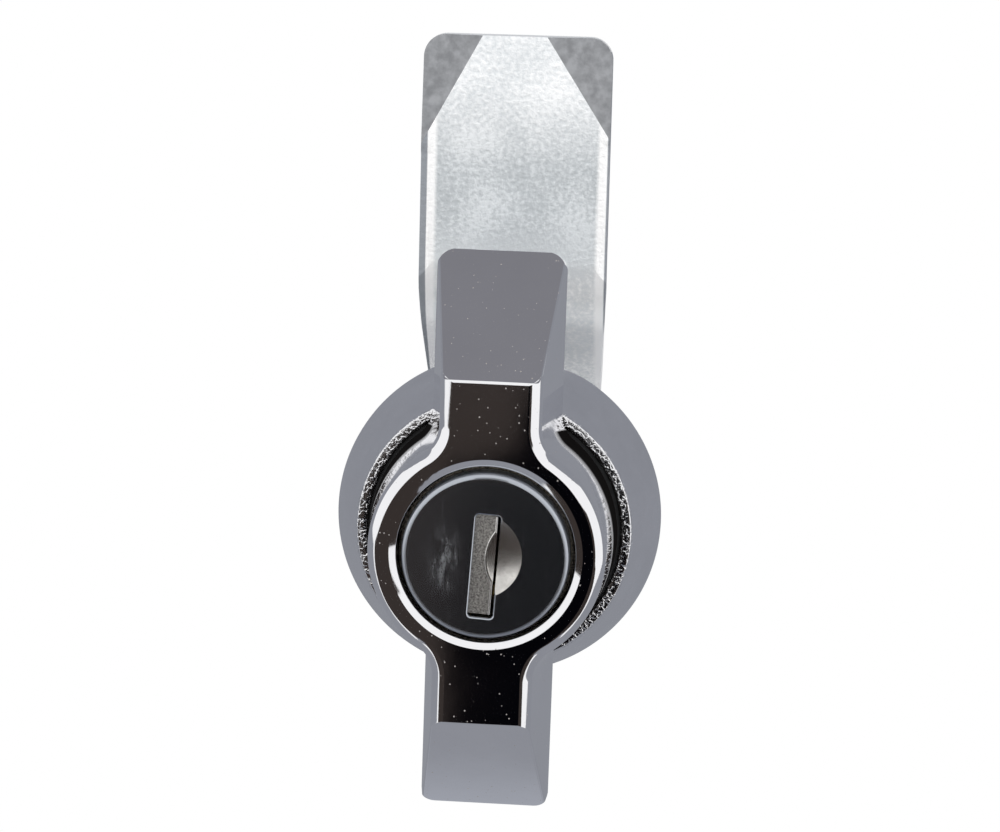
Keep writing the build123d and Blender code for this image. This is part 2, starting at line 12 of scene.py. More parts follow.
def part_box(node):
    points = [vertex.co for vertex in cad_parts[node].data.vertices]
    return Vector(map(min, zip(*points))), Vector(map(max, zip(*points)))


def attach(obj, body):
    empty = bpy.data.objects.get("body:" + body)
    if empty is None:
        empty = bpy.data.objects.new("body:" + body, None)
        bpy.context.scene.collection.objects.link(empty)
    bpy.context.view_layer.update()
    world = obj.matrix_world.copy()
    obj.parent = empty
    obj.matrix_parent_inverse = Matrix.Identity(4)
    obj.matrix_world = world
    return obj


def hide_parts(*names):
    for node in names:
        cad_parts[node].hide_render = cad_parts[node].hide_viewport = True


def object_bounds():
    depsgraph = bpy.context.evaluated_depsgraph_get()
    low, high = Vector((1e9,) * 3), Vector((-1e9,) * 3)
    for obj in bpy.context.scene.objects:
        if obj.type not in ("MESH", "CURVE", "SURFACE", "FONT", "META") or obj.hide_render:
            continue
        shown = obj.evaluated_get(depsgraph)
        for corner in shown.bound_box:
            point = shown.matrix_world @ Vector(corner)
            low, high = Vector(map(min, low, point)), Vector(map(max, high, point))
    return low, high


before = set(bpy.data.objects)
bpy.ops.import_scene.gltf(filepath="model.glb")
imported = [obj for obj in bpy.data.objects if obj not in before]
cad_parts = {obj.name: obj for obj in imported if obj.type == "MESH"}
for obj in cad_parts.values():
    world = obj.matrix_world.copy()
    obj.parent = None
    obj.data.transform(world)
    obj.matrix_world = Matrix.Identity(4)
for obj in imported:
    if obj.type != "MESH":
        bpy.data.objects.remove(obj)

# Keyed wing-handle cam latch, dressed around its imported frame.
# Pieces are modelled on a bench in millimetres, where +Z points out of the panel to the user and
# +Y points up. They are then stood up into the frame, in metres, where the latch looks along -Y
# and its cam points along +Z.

CAD_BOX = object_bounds()

MILLIMETRE = 0.001
ROUND_STEPS = 192       # steps of a large turned piece
SMALL_ROUND_STEPS = 96  # steps of a small turned piece
CLEAR = 1.0             # how far a cutting tool runs past the piece
SMOOTH_ANGLE = math.radians(32.0)
HANDLE_CREASE = math.radians(14.0)
CAM_CREASE = math.radians(13.0)
LOCK_CREASE = math.radians(10.0)
TOUCH = 0.001           # distance under which two places count as one

log = logging.getLogger("latch")

Piece = bpy.types.Object
Material = bpy.types.Material
Node = bpy.types.Node
Edge = bmesh.types.BMEdge
Face = bpy.types.MeshPolygon
Point = tuple[float, float]
Outline = list[Vector]
Colour = tuple[float, float, float]


class Body(Enum):
    """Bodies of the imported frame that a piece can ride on."""

    HOUSING = "housing"
    HANDLE = "handle"
    PLUG = "plug"
    SHUTTER = "shutter"


class Slot(Enum):
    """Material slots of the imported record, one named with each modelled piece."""

    CHROME = "chromed_zinc"
    ZINC_PLATE = "zinc_plated_steel"
    STAINLESS = "polished_stainless"
    DIE_CAST = "die_cast_zinc"


@dataclass(frozen=True)
class Place:
    """The box of a CAD node on the bench, in millimetres."""

    low: Vector
    high: Vector

    @staticmethod
    def of(node: str) -> "Place":
        """Read a node's box from the frame.

        Args:
            node: Name of the CAD node.

        Returns:
            Its box, turned to the bench.
        """
        low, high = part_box(node)
        return Place(
            Vector((low.x, low.z, -high.y)) / MILLIMETRE,
            Vector((high.x, high.z, -low.y)) / MILLIMETRE,
        )

    @property
    def radius(self) -> float:
        """Half its width."""
        return (self.high.x - self.low.x) / 2

    @property
    def top(self) -> float:
        """Its front, furthest out of the panel."""
        return self.high.z

    @property
    def bottom(self) -> float:
        """Its back."""
        return self.low.z


# ---------------------------------------------------------------- modelling on the bench


def deselect() -> None:
    """Deselect every object, and leave edit mode."""
    if bpy.context.mode != "OBJECT":
        bpy.ops.object.mode_set(mode="OBJECT")
    bpy.ops.object.select_all(action="DESELECT")


def take(piece: Piece) -> None:
    """Make a piece the only selected and the active one.

    Args:
        piece: The piece.
    """
    deselect()
    piece.select_set(True)
    bpy.context.view_layer.objects.active = piece


def named(name: str) -> Piece:
    """Give the active object its name.

    Args:
        name: The piece's name, also given to its mesh.

    Returns:
        The active object.
    """
    piece = bpy.context.active_object
    piece.name = name
    piece.data.name = name
    return piece


def select_parts(piece: Piece, kind: str, wanted: Callable[[object], bool]) -> None:
    """Select the edges or faces of a piece in edit mode by their place.

    Args:
        piece: The piece, which is left in edit mode.
        kind: "edges" or "faces".
        wanted: Says of each one whether it is selected.
    """
    take(piece)
    bpy.ops.object.mode_set(mode="EDIT")
    bpy.ops.mesh.select_mode(type="EDGE" if kind == "edges" else "FACE")
    bpy.ops.mesh.select_all(action="DESELECT")
    mesh = bmesh.from_edit_mesh(piece.data)
    for part in [part for part in getattr(mesh, kind) if wanted(part)]:
        part.select = True
    mesh.select_flush_mode()
    bmesh.update_edit_mesh(piece.data)


def outward(piece: Piece) -> Piece:
    """Merge doubles and turn every face of a closed piece outwards.

    Args:
        piece: The piece.

    Returns:
        The piece.
    """
    take(piece)
    bpy.ops.object.mode_set(mode="EDIT")
    bpy.ops.mesh.select_all(action="SELECT")
    bpy.ops.mesh.remove_doubles(threshold=TOUCH)
    bpy.ops.mesh.normals_make_consistent(inside=False)
    bpy.ops.object.mode_set(mode="OBJECT")
    return piece


def lofted(name: str, rings: Sequence[Outline]) -> Piece:
    """A closed solid through outlines of equal length, flat at both ends.

    Args:
        name: The piece's name.
        rings: Outlines from one end to the other, each in the same order.

    Returns:
        The solid.
    """
    deselect()
    bpy.ops.mesh.primitive_circle_add(vertices=len(rings[0]), radius=1.0, fill_type="NGON")
    piece = named(name)
    bpy.ops.object.mode_set(mode="EDIT")
    bpy.ops.mesh.select_mode(type="VERT")
    bpy.ops.mesh.select_all(action="SELECT")
    mesh = bmesh.from_edit_mesh(piece.data)
    mesh.verts.ensure_lookup_table()
    for vertex, point in zip(mesh.verts, rings[0]):
        vertex.co = point
    bmesh.update_edit_mesh(piece.data)
    for before, ring in zip(rings, rings[1:]):
        spots = {tuple(round(x, 4) for x in point): n for n, point in enumerate(before)}
        bpy.ops.mesh.extrude_region_move(TRANSFORM_OT_translate={"value": (0.0, 0.0, 0.0)})
        mesh = bmesh.from_edit_mesh(piece.data)
        for vertex in [v for v in mesh.verts if v.select]:
            vertex.co = ring[spots[tuple(round(x, 4) for x in vertex.co)]]
        bmesh.update_edit_mesh(piece.data)
    return outward(piece)


def turned(name: str, profile: Sequence[Point], steps: int) -> Piece:
    """A solid of revolution about Z.

    Args:
        name: The piece's name.
        profile: (radius, height) points of a closed profile that stays off the axis, or of an open
            one that begins and ends on it.
        steps: Steps round the axis.

    Returns:
        The solid.
    """
    closed = profile[0][0] > 0
    rest = list(profile[1:]) + [profile[0]] if closed else list(profile[2:])
    radius, height = profile[0] if closed else profile[1]
    deselect()
    bpy.ops.mesh.primitive_circle_add(
        vertices=steps,
        radius=radius,
        location=(0.0, 0.0, height),
        fill_type="NOTHING" if closed else "NGON",
    )
    piece = named(name)
    bpy.ops.object.transform_apply()
    bpy.ops.object.mode_set(mode="EDIT")
    bpy.ops.mesh.select_mode(type="VERT")
    bpy.ops.mesh.select_all(action="SELECT")
    for next_radius, next_height in rest:
        if next_radius == 0:
            continue
        lift = {"value": (0.0, 0.0, next_height - height)}
        bpy.ops.mesh.extrude_region_move(TRANSFORM_OT_translate=lift)
        scale = next_radius / radius
        bpy.ops.transform.resize(
            value=(scale, scale, 1.0), center_override=(0.0, 0.0, next_height)
        )
        radius, height = next_radius, next_height
    return outward(piece)


def block(name: str, low: Sequence[float], high: Sequence[float]) -> Piece:
    """A box between two corners, as a tool or a start.

    Args:
        name: The piece's name.
        low: Its lowest corner.
        high: Its highest corner.

    Returns:
        The box.
    """
    deselect()
    middle = [(a + b) / 2 for a, b in zip(low, high)]
    size = [b - a for a, b in zip(low, high)]
    bpy.ops.mesh.primitive_cube_add(size=1.0, location=middle, scale=size)
    piece = named(name)
    bpy.ops.object.transform_apply()
    return piece


def prism(name: str, points: Iterable[Point], low: float, high: float) -> Piece:
    """An outline in the plane of X and Y, raised from one height to another.

    Args:
        name: The piece's name.
        points: The outline.
        low: Height of its foot.
        high: Height of its top.

    Returns:
        The prism.
    """
    corners = list(points)
    return lofted(name, [[Vector((x, y, z)) for x, y in corners] for z in (low, high)])


def side_prism(name: str, points: Iterable[Point], half: float) -> Piece:
    """An outline in the plane of Y and Z, carried to both sides by half the width.

    Args:
        name: The piece's name.
        points: The outline, as (y, z).
        half: Half the width.

    Returns:
        The prism.
    """
    corners = list(points)
    return lofted(name, [[Vector((x, y, z)) for y, z in corners] for x in (-half, half)])


def combine(piece: Piece, tool: Piece, way: str) -> Piece:
    """Unite a piece with a tool, cut it with the tool or keep what both share.

    Args:
        piece: The piece that is changed.
        tool: The other solid, which is used up.
        way: "UNION", "DIFFERENCE" or "INTERSECT".

    Returns:
        The piece.
    """
    take(piece)
    step = piece.modifiers.new("shape", "BOOLEAN")
    step.operation = way
    step.solver = "EXACT"
    step.object = tool
    bpy.ops.object.modifier_apply(modifier=step.name)
    bpy.data.objects.remove(tool)
    return piece


def cut(piece: Piece, *tools: Piece) -> Piece:
    """Cut a piece with each tool in turn.

    Args:
        piece: The piece.
        tools: The tools, which are used up.

    Returns:
        The piece.
    """
    for tool in tools:
        combine(piece, tool, "DIFFERENCE")
    return piece


def round_edges(
    piece: Piece, width: float, steps: int, wanted: Callable[[Edge], bool]
) -> Piece:
    """Round the chosen edges of a piece.

    Args:
        piece: The piece.
        width: Distance from the old edge to where the round starts.
        steps: Steps across the round.
        wanted: Says of each edge whether it is rounded.

    Returns:
        The piece.
    """
    select_parts(piece, "edges", wanted)
    bpy.ops.mesh.bevel(offset=width, segments=steps, affect="EDGES", clamp_overlap=False)
    bpy.ops.object.mode_set(mode="OBJECT")
    return piece


def round_by_weight(
    piece: Piece, width: float, steps: int, weight: Callable[[Edge], float]
) -> Piece:
    """Round edges by different amounts in one go, so that their corners blend.

    Args:
        piece: The piece.
        width: Full width of the round.
        steps: Steps across the round.
        weight: Gives each edge its share of the width, 0 for none.

    Returns:
        The piece.
    """
    take(piece)
    shares = piece.data.attributes.new("bevel_weight_edge", "FLOAT", "EDGE")
    mesh = bmesh.new()
    mesh.from_mesh(piece.data)
    weights = [weight(edge) for edge in mesh.edges]
    mesh.free()
    shares.data.foreach_set("value", weights)
    step = piece.modifiers.new("rounds", "BEVEL")
    step.limit_method = "WEIGHT"
    step.width = width
    step.segments = steps
    step.use_clamp_overlap = False
    bpy.ops.object.modifier_apply(modifier=step.name)
    piece.data.attributes.remove(piece.data.attributes["bevel_weight_edge"])
    return piece


def soften(piece: Piece, width: float, steps: int = 3) -> Piece:
    """Round every sharp edge of a piece a little, as plating and tumbling leave it.

    Args:
        piece: The piece.
        width: Width of the round.
        steps: Steps across the round.

    Returns:
        The piece.
    """
    take(piece)
    step = piece.modifiers.new("soft edges", "BEVEL")
    step.width = width
    step.segments = steps
    step.limit_method = "ANGLE"
    step.angle_limit = SMOOTH_ANGLE
    step.use_clamp_overlap = True
    bpy.ops.object.modifier_apply(modifier=step.name)
    return piece


def swung(
    piece: Piece, x: float = 0.0, y: float = 0.0, z: float = 0.0
) -> Piece:
    """Turn a piece on the bench.

    Args:
        piece: The piece.
        x: Turn about the bench's X, in degrees.
        y: Turn about its Y.
        z: Turn about its Z, the lock axis.

    Returns:
        The piece.
    """
    take(piece)
    piece.rotation_euler = [math.radians(turn) for turn in (x, y, z)]
    bpy.ops.object.transform_apply()
    return piece


def moved(piece: Piece, x: float, y: float, z: float) -> Piece:
    """Shift a piece on the bench.

    Args:
        piece: The piece.
        x: Shift across.
        y: Shift upwards.
        z: Shift out of the panel.

    Returns:
        The piece.
    """
    take(piece)
    piece.location = (x, y, z)
    bpy.ops.object.transform_apply()
    return piece


def stand_up(piece: Piece, crease: float) -> Piece:
    """Carry a piece from the bench into the frame, smoothed, with its object at the origin.

    Args:
        piece: The piece.
        crease: Angle between two faces from which their edge stays sharp.

    Returns:
        The piece.
    """
    take(piece)
    piece.rotation_euler = (math.radians(90.0), 0.0, 0.0)
    piece.scale = (MILLIMETRE,) * 3
    bpy.ops.object.transform_apply()
    bpy.ops.object.shade_smooth_by_angle(angle=crease)
    weigh = piece.modifiers.new("flat faces", "WEIGHTED_NORMAL")
    weigh.keep_sharp = True
    weigh.weight = 100
    bpy.ops.object.modifier_apply(modifier=weigh.name)
    return piece


def fit(
    piece: Piece,
    body: Body,
    slot: Slot,
    finish: Material,
    *nodes: str,
    crease: float = SMOOTH_ANGLE,
) -> Piece:
    """Stand a piece up, give it its finish and let it stand for CAD nodes.

    Args:
        piece: The piece, still on the bench.
        body: Body that it rides on.
        slot: The record's material slot; not used.
        finish: Its material.
        nodes: CAD nodes that it stands for.
        crease: Angle from which its edges stay sharp.

    Returns:
        The piece.
    """
    stand_up(piece, crease)
    piece.data.materials.clear()
    piece.data.materials.append(finish)
    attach(piece, body.value)
    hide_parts(*nodes)
    log.info("%s: %d faces, for %s", piece.name, len(piece.data.polygons), ", ".join(nodes))
    return piece


def dress_faces(piece: Piece, finish: Material, wanted: Callable[[Face], bool]) -> None:
    """Give some faces of a finished piece a second finish.

    Args:
        piece: The piece, already in the frame.
        finish: The second material.
        wanted: Says of each face whether it gets it.
    """
    piece.data.materials.append(finish)
    for face in piece.data.polygons:
        if wanted(face):
            face.material_index = len(piece.data.materials) - 1


def paint(node: str, finish: Material) -> None:
    """Give a CAD node that stays in view its finish.

    Args:
        node: Name of the node.
        finish: Its material.
    """
    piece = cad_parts[node]
    piece.data.materials.clear()
    piece.data.materials.append(finish)
    log.info("%s: CAD node, %s", node, finish.name)


def arc(centre: Point, radius: float, start: float, end: float, steps: int) -> list[Point]:
    """Points of an arc.

    Args:
        centre: Its centre.
        radius: Its radius.
        start: First angle in degrees.
        end: Last angle in degrees.
        steps: Steps between them.

    Returns:
        The points, both ends included.
    """
    angles = [math.radians(start + (end - start) * n / steps) for n in range(steps + 1)]
    x, y = centre
    return [(x + radius * math.cos(a), y + radius * math.sin(a)) for a in angles]


def ring_sector(outer: float, inner: float, start: float, end: float) -> list[Point]:
    """Outline of a part of a ring between two angles in degrees.

    Args:
        outer: Outer radius.
        inner: Inner radius.
        start: First angle.
        end: Last angle.

    Returns:
        The points, once round.
    """
    steps = max(4, round(abs(end - start) / 3))
    return arc((0, 0), outer, start, end, steps) + arc((0, 0), inner, end, start, steps)


def hexagon(corner: float) -> list[Point]:
    """Outline of a hexagon by the distance from its middle to a corner."""
    return arc((0, 0), corner, 0, 300, 5)


def ring(name: str, place: Place, bore: float, steps: int) -> Piece:
    """A flat ring that fills a node's place.

    Args:
        name: The piece's name.
        place: The node's place.
        bore: Radius of the hole.
        steps: Steps round the axis.

    Returns:
        The ring.
    """
    section = [
        (bore, place.bottom),
        (place.radius, place.bottom),
        (place.radius, place.top),
        (bore, place.top),
    ]
    return turned(name, section, steps)


# ---------------------------------------------------------------- finishes


class Recipe:
    """A material's node tree, built up step by step."""

    def __init__(self, name: str, shader: str = "ShaderNodeBsdfPrincipled") -> None:
        """Start an empty tree with its surface shader.

        Args:
            name: Name of the material.
            shader: Kind of the surface shader.
        """
        self.material = bpy.data.materials.new(name)
        self.material.use_nodes = True
        self.tree = self.material.node_tree
        self.tree.nodes.clear()
        self.output = self.tree.nodes.new("ShaderNodeOutputMaterial")
        self.shader = self.tree.nodes.new(shader)
        self.tree.links.new(self.shader.outputs[0], self.output.inputs["Surface"])
        self.coordinates = self.tree.nodes.new("ShaderNodeTexCoord")

    def join(self, source: Node, out: str, target: Node, into: str) -> None:
        """Link one node's output to another's input."""
        self.tree.links.new(source.outputs[out], target.inputs[into])

    def set(self, socket: str, value: float) -> None:
        """Set one of the shader's own sockets."""
        self.shader.inputs[socket].default_value = value

    def mapped(
        self,
        scale: Sequence[float],
        turn: Sequence[float] = (0, 0, 0),
        shift: Sequence[float] = (0, 0, 0),
    ) -> Node:
        """Object coordinates, stretched, turned and then shifted.

        Args:
            scale: Stretch along each axis.
            turn: Turn about each axis, in degrees.
            shift: Shift along each axis.

        Returns:
            The mapping node.
        """
        mapping = self.tree.nodes.new("ShaderNodeMapping")
        mapping.inputs["Location"].default_value = shift
        mapping.inputs["Scale"].default_value = scale
        mapping.inputs["Rotation"].default_value = [math.radians(t) for t in turn]
        self.join(self.coordinates, "Object", mapping, "Vector")
        return mapping

    def along(self, axis: str, low: Sequence[float], high: Sequence[float]) -> Node:
        """A value that changes along one axis of the piece, from low to high (place, value).

        Args:
            axis: "X", "Y" or "Z".
            low: Place and value at the low end.
            high: Place and value at the high end.

        Returns:
            The node, whose output is Result.
        """
        axes = self.tree.nodes.new("ShaderNodeSeparateXYZ")
        self.join(self.coordinates, "Object", axes, "Vector")
        return self.span(axes, axis, low, high)

    def away(self, mapping: Node, low: Sequence[float], high: Sequence[float]) -> Node:
        """A value that changes with the distance from a mapping's centre.

        Args:
            mapping: The mapping node.
            low: First distance, and the value there.
            high: Second distance, and the value there.

        Returns:
            The node, whose output is Result.
        """
        length = self.tree.nodes.new("ShaderNodeVectorMath")
        length.operation = "LENGTH"
        self.tree.links.new(mapping.outputs["Vector"], length.inputs[0])
        return self.span(length, "Value", low, high)

    def crinkle(self, size: float, depth: float, share: Node, out: str) -> None:
        """Raise fine winding ridges, as plate leaves over a rough casting.

        Args:
            size: Distance between ridges.
            depth: Their height.
            share: Node that gives how strong they are.
            out: Its output.
        """
        lines = self.noise(1 / size, 1.0, 0.5)
        steps = self.span(lines, "Fac", (0.44, 0.0), (0.56, 1.0))
        height = self.maths(steps, "Result", share, out, "MULTIPLY")
        self.bump(height, "Value", depth)

    def noise(
        self, scale: float, detail: float = 2.0, rough: float = 0.5, mapping: Node | None = None
    ) -> Node:
        """A noise texture on object coordinates, or on a mapping.

        Args:
            scale: Waves in a metre.
            detail: How many finer layers it has.
            rough: How strong the finer layers are.
            mapping: Mapping node, if it isn't on the piece's own coordinates.

        Returns:
            The texture node, whose output is Fac.
        """
        node = self.tree.nodes.new("ShaderNodeTexNoise")
        node.inputs["Scale"].default_value = scale
        node.inputs["Detail"].default_value = detail
        node.inputs["Roughness"].default_value = rough
        source, out = (mapping, "Vector") if mapping else (self.coordinates, "Object")
        self.join(source, out, node, "Vector")
        return node

    def cells(self, scale: float) -> Node:
        """A Voronoi texture of separate cells.

        Args:
            scale: Cells in a metre.

        Returns:
            The texture node, with outputs Distance and Color.
        """
        node = self.tree.nodes.new("ShaderNodeTexVoronoi")
        node.inputs["Scale"].default_value = scale
        self.join(self.coordinates, "Object", node, "Vector")
        return node

    def ramp(self, source: Node, out: str, stops: Sequence[tuple[float, Colour]]) -> Node:
        """A colour ramp of (position, colour) stops on a node's output.

        Args:
            source: Node that gives the value.
            out: Its output.
            stops: Positions and their colours, in order.

        Returns:
            The ramp node, whose output is Color.
        """
        node = self.tree.nodes.new("ShaderNodeValToRGB")
        self.join(source, out, node, "Fac")
        elements = node.color_ramp.elements
        while len(elements) < len(stops):
            elements.new(0.5)
        for element, (position, colour) in zip(elements, stops):
            element.position = position
            element.color = (*colour, 1.0)
        return node

    def plain(self, source: Node, out: str, colour: Colour) -> Node:
        """One colour whatever a node gives, for a blend to take."""
        return self.ramp(source, out, [(0.0, colour), (1.0, colour)])

    def span(self, source: Node, out: str, low: Sequence[float], high: Sequence[float]) -> Node:
        """Carry a value from one range to another, kept within it.

        Args:
            source: Node that gives the value.
            out: Its output.
            low: Value in, and value out, at the low end.
            high: Value in, and value out, at the high end.

        Returns:
            The map range node, whose output is Result.
        """
        node = self.tree.nodes.new("ShaderNodeMapRange")
        for place, (start, end) in {"Min": low, "Max": high}.items():
            node.inputs[f"From {place}"].default_value = start
            node.inputs[f"To {place}"].default_value = end
        self.join(source, out, node, "Value")
        return node

    def maths(
        self, first: Node, first_out: str, second: Node, second_out: str, way: str = "ADD"
    ) -> Node:
        """Combine two values.

        Args:
            first: Node that gives the first value.
            first_out: Its output.
            second: Node that gives the second value.
            second_out: Its output.
            way: The sum to do, in the maths node's own word.

        Returns:
            The maths node, whose output is Value.
        """
        node = self.tree.nodes.new("ShaderNodeMath")
        node.operation = way
        self.tree.links.new(first.outputs[first_out], node.inputs[0])
        self.tree.links.new(second.outputs[second_out], node.inputs[1])
        return node

    def blend(self, share: Node, share_out: str, first: Node, second: Node) -> Node:
        """Mix two colour nodes by a share, and return the mix node.

        Args:
            share: Node that gives the share of the second colour.
            share_out: Its output.
            first: Colour node where the share is 0.
            second: Colour node where the share is 1.

        Returns:
            The mix node, whose output is Color.
        """
        node = self.tree.nodes.new("ShaderNodeMixRGB")
        self.tree.links.new(share.outputs[share_out], node.inputs["Fac"])
        self.tree.links.new(first.outputs["Color"], node.inputs["Color1"])
        self.tree.links.new(second.outputs["Color"], node.inputs["Color2"])
        return node

    def bump(self, height: Node, out: str, depth: float, strength: float = 1.0) -> None:
        """Raise the surface by a value.

        Args:
            height: Node that gives the height.
            out: Its output.
            depth: Height of a full step in metres.
            strength: Share of the effect.
        """
        node = self.tree.nodes.new("ShaderNodeBump")
        node.inputs["Distance"].default_value = depth
        node.inputs["Strength"].default_value = strength
        self.join(height, out, node, "Height")
        previous = self.shader.inputs["Normal"].links
        if previous:
            self.tree.links.new(previous[0].from_socket, node.inputs["Normal"])
        self.join(node, "Normal", self.shader, "Normal")


@dataclass(frozen=True)
class Chrome:
    """Bright chrome plate on die-cast zinc, with dust specks, the casting's faint waves and a
    painted shade on the hub's lower wall.
    """

    name: str = "bright_chrome"
    colour: Colour = (0.90, 0.90, 0.92)
    dust: Colour = (0.20, 0.185, 0.175)
    roughness: float = 0.05
    speck_spacing: float = 0.0005
    wave_size: float = 0.004
    wave_depth: float = 0.000004
    # Painted shade: a dark, non-metallic colour on the hub's lower wall, standing in for the shade
    # of the gap above the base, with its radius and heights.
    shade: Colour = (0.006, 0.0055, 0.0055)
    shade_radius: float = 0.0131
    shade_front: float = -0.0140
    shade_full: float = -0.0122

    def make(self) -> Material:
        """Build the material.

        Returns:
            The material.
        """
        recipe = Recipe(self.name)
        recipe.set("Specular IOR Level", 0.0)
        cells = recipe.cells(1 / self.speck_spacing)
        sizes = recipe.span(cells, "Color", (0.35, 0.0), (0.95, 0.15))
        specks = recipe.maths(cells, "Distance", sizes, "Result", "LESS_THAN")
        haze = recipe.noise(1 / (3 * self.wave_size), 4.0, 0.6)
        plate = recipe.ramp(
            haze, "Fac", [(0.3, tuple(0.95 * c for c in self.colour)), (0.7, self.colour)]
        )
        pale_dust = tuple(1.6 * c for c in self.dust)
        dust = recipe.ramp(haze, "Fac", [(0.2, self.dust), (0.8, pale_dust)])
        # Mask of the painted shade on the hub's lower wall, in the gap above the base.
        foot = recipe.along("Y", (self.shade_front, 0.0), (self.shade_full, 1.0))
        hub = recipe.away(
            recipe.mapped((1.0, 0.0, 1.0)),
            (self.shade_radius - 0.0001, 1.0),
            (self.shade_radius, 0.0),
        )
        gap = recipe.maths(foot, "Result", hub, "Result", "MULTIPLY")
        # Dust specks and the painted shade are both non-metallic.
        dust_or_painted_shade = recipe.maths(specks, "Value", gap, "Value", "MAXIMUM")
        bare = recipe.span(dust_or_painted_shade, "Value", (0.0, 1.0), (1.0, 0.0))
        recipe.join(bare, "Result", recipe.shader, "Metallic")
        shade = recipe.plain(haze, "Fac", self.shade)
        dusty = recipe.blend(specks, "Value", plate, dust)
        colour = recipe.blend(gap, "Value", dusty, shade)
        recipe.join(colour, "Color", recipe.shader, "Base Color")
        sheen = recipe.span(haze, "Fac", (0.3, self.roughness), (0.8, 1.8 * self.roughness))
        # Rougher on the dust specks and on the painted shade.
        dust_and_shade_roughness = recipe.span(dust_or_painted_shade, "Value", (0.0, 0.0), (1.0, 0.5))
        rough = recipe.maths(sheen, "Result", dust_and_shade_roughness, "Result")
        recipe.join(rough, "Value", recipe.shader, "Roughness")
        waves = recipe.noise(1 / self.wave_size, 3.0, 0.45)
        recipe.bump(waves, "Fac", self.wave_depth)
        recipe.bump(specks, "Value", 0.00002, 0.6)
        return recipe.material


@dataclass(frozen=True)
class CastChrome:
    """Chrome over a rougher casting, with a crinkled skin where the plate pulls over edges."""

    name: str = "cast_chrome"
    colour: Colour = (0.90, 0.90, 0.92)
    roughness: float = 0.12
    grain: float = 0.00035
    crinkle_size: float = 0.0004
    crinkle_depth: float = 0.00004
    crinkle_front: float = -0.0080
    crinkle_full: float = -0.0084
    crinkle_radius: float = 0.0133

    def make(self) -> Material:
        """Build the material.

        Returns:
            The material.
        """
        recipe = Recipe(self.name)
        recipe.set("Metallic", 1.0)
        haze = recipe.noise(180.0, 4.0, 0.6)
        plate = recipe.ramp(
            haze, "Fac", [(0.3, tuple(0.92 * c for c in self.colour)), (0.7, self.colour)]
        )
        recipe.join(plate, "Color", recipe.shader, "Base Color")
        sheen = recipe.span(haze, "Fac", (0.3, self.roughness), (0.8, 1.4 * self.roughness))
        recipe.join(sheen, "Result", recipe.shader, "Roughness")
        fine = recipe.noise(1 / self.grain, 2.0, 0.5)
        recipe.bump(fine, "Fac", 0.000006)
        rim = recipe.along("Y", (self.crinkle_front, 0.0), (self.crinkle_full, 1.0))
        ring = recipe.away(
            recipe.mapped((1.0, 0.0, 1.0)),
            (self.crinkle_radius - 0.0002, 0.0),
            (self.crinkle_radius, 1.0),
        )
        both = recipe.maths(rim, "Result", ring, "Result", "MULTIPLY")
        recipe.crinkle(self.crinkle_size, self.crinkle_depth, both, "Value")
        return recipe.material


@dataclass(frozen=True)
class ZincPlate:
    """Bright zinc plate over rolled steel: pale, mottled and faintly dimpled."""

    name: str = "zinc_plate"
    dull: Colour = (0.66, 0.69, 0.71)
    bright: Colour = (0.95, 0.96, 0.97)
    metallic: float = 0.5
    roughness: float = 0.30
    mottle: float = 0.0007
    depth: float = 0.00006

    def tones(self, recipe: Recipe, shares: Node) -> Node:
        """Colour node of the plate, from the node that gives its mottling."""
        return recipe.ramp(shares, "Result", [(0.1, self.dull), (0.9, self.bright)])

    def make(self) -> Material:
        """Build the material.

        Returns:
            The material.
        """
        recipe = Recipe(self.name)
        recipe.set("Metallic", self.metallic)
        mottle = recipe.noise(1 / self.mottle, 3.0, 0.6)
        clouds = recipe.noise(110.0, 3.0, 0.5)
        both = recipe.maths(mottle, "Fac", clouds, "Fac")
        shares = recipe.span(both, "Value", (0.78, 0.0), (1.2, 1.0))
        recipe.join(self.tones(recipe, shares), "Color", recipe.shader, "Base Color")
        rough = recipe.span(both, "Value", (0.75, 1.5 * self.roughness), (1.25, self.roughness))
        recipe.join(rough, "Result", recipe.shader, "Roughness")
        recipe.bump(mottle, "Fac", self.depth)
        pores = recipe.noise(4200.0, 2.0, 0.6)
        recipe.bump(pores, "Fac", 0.00001)
        return recipe.material


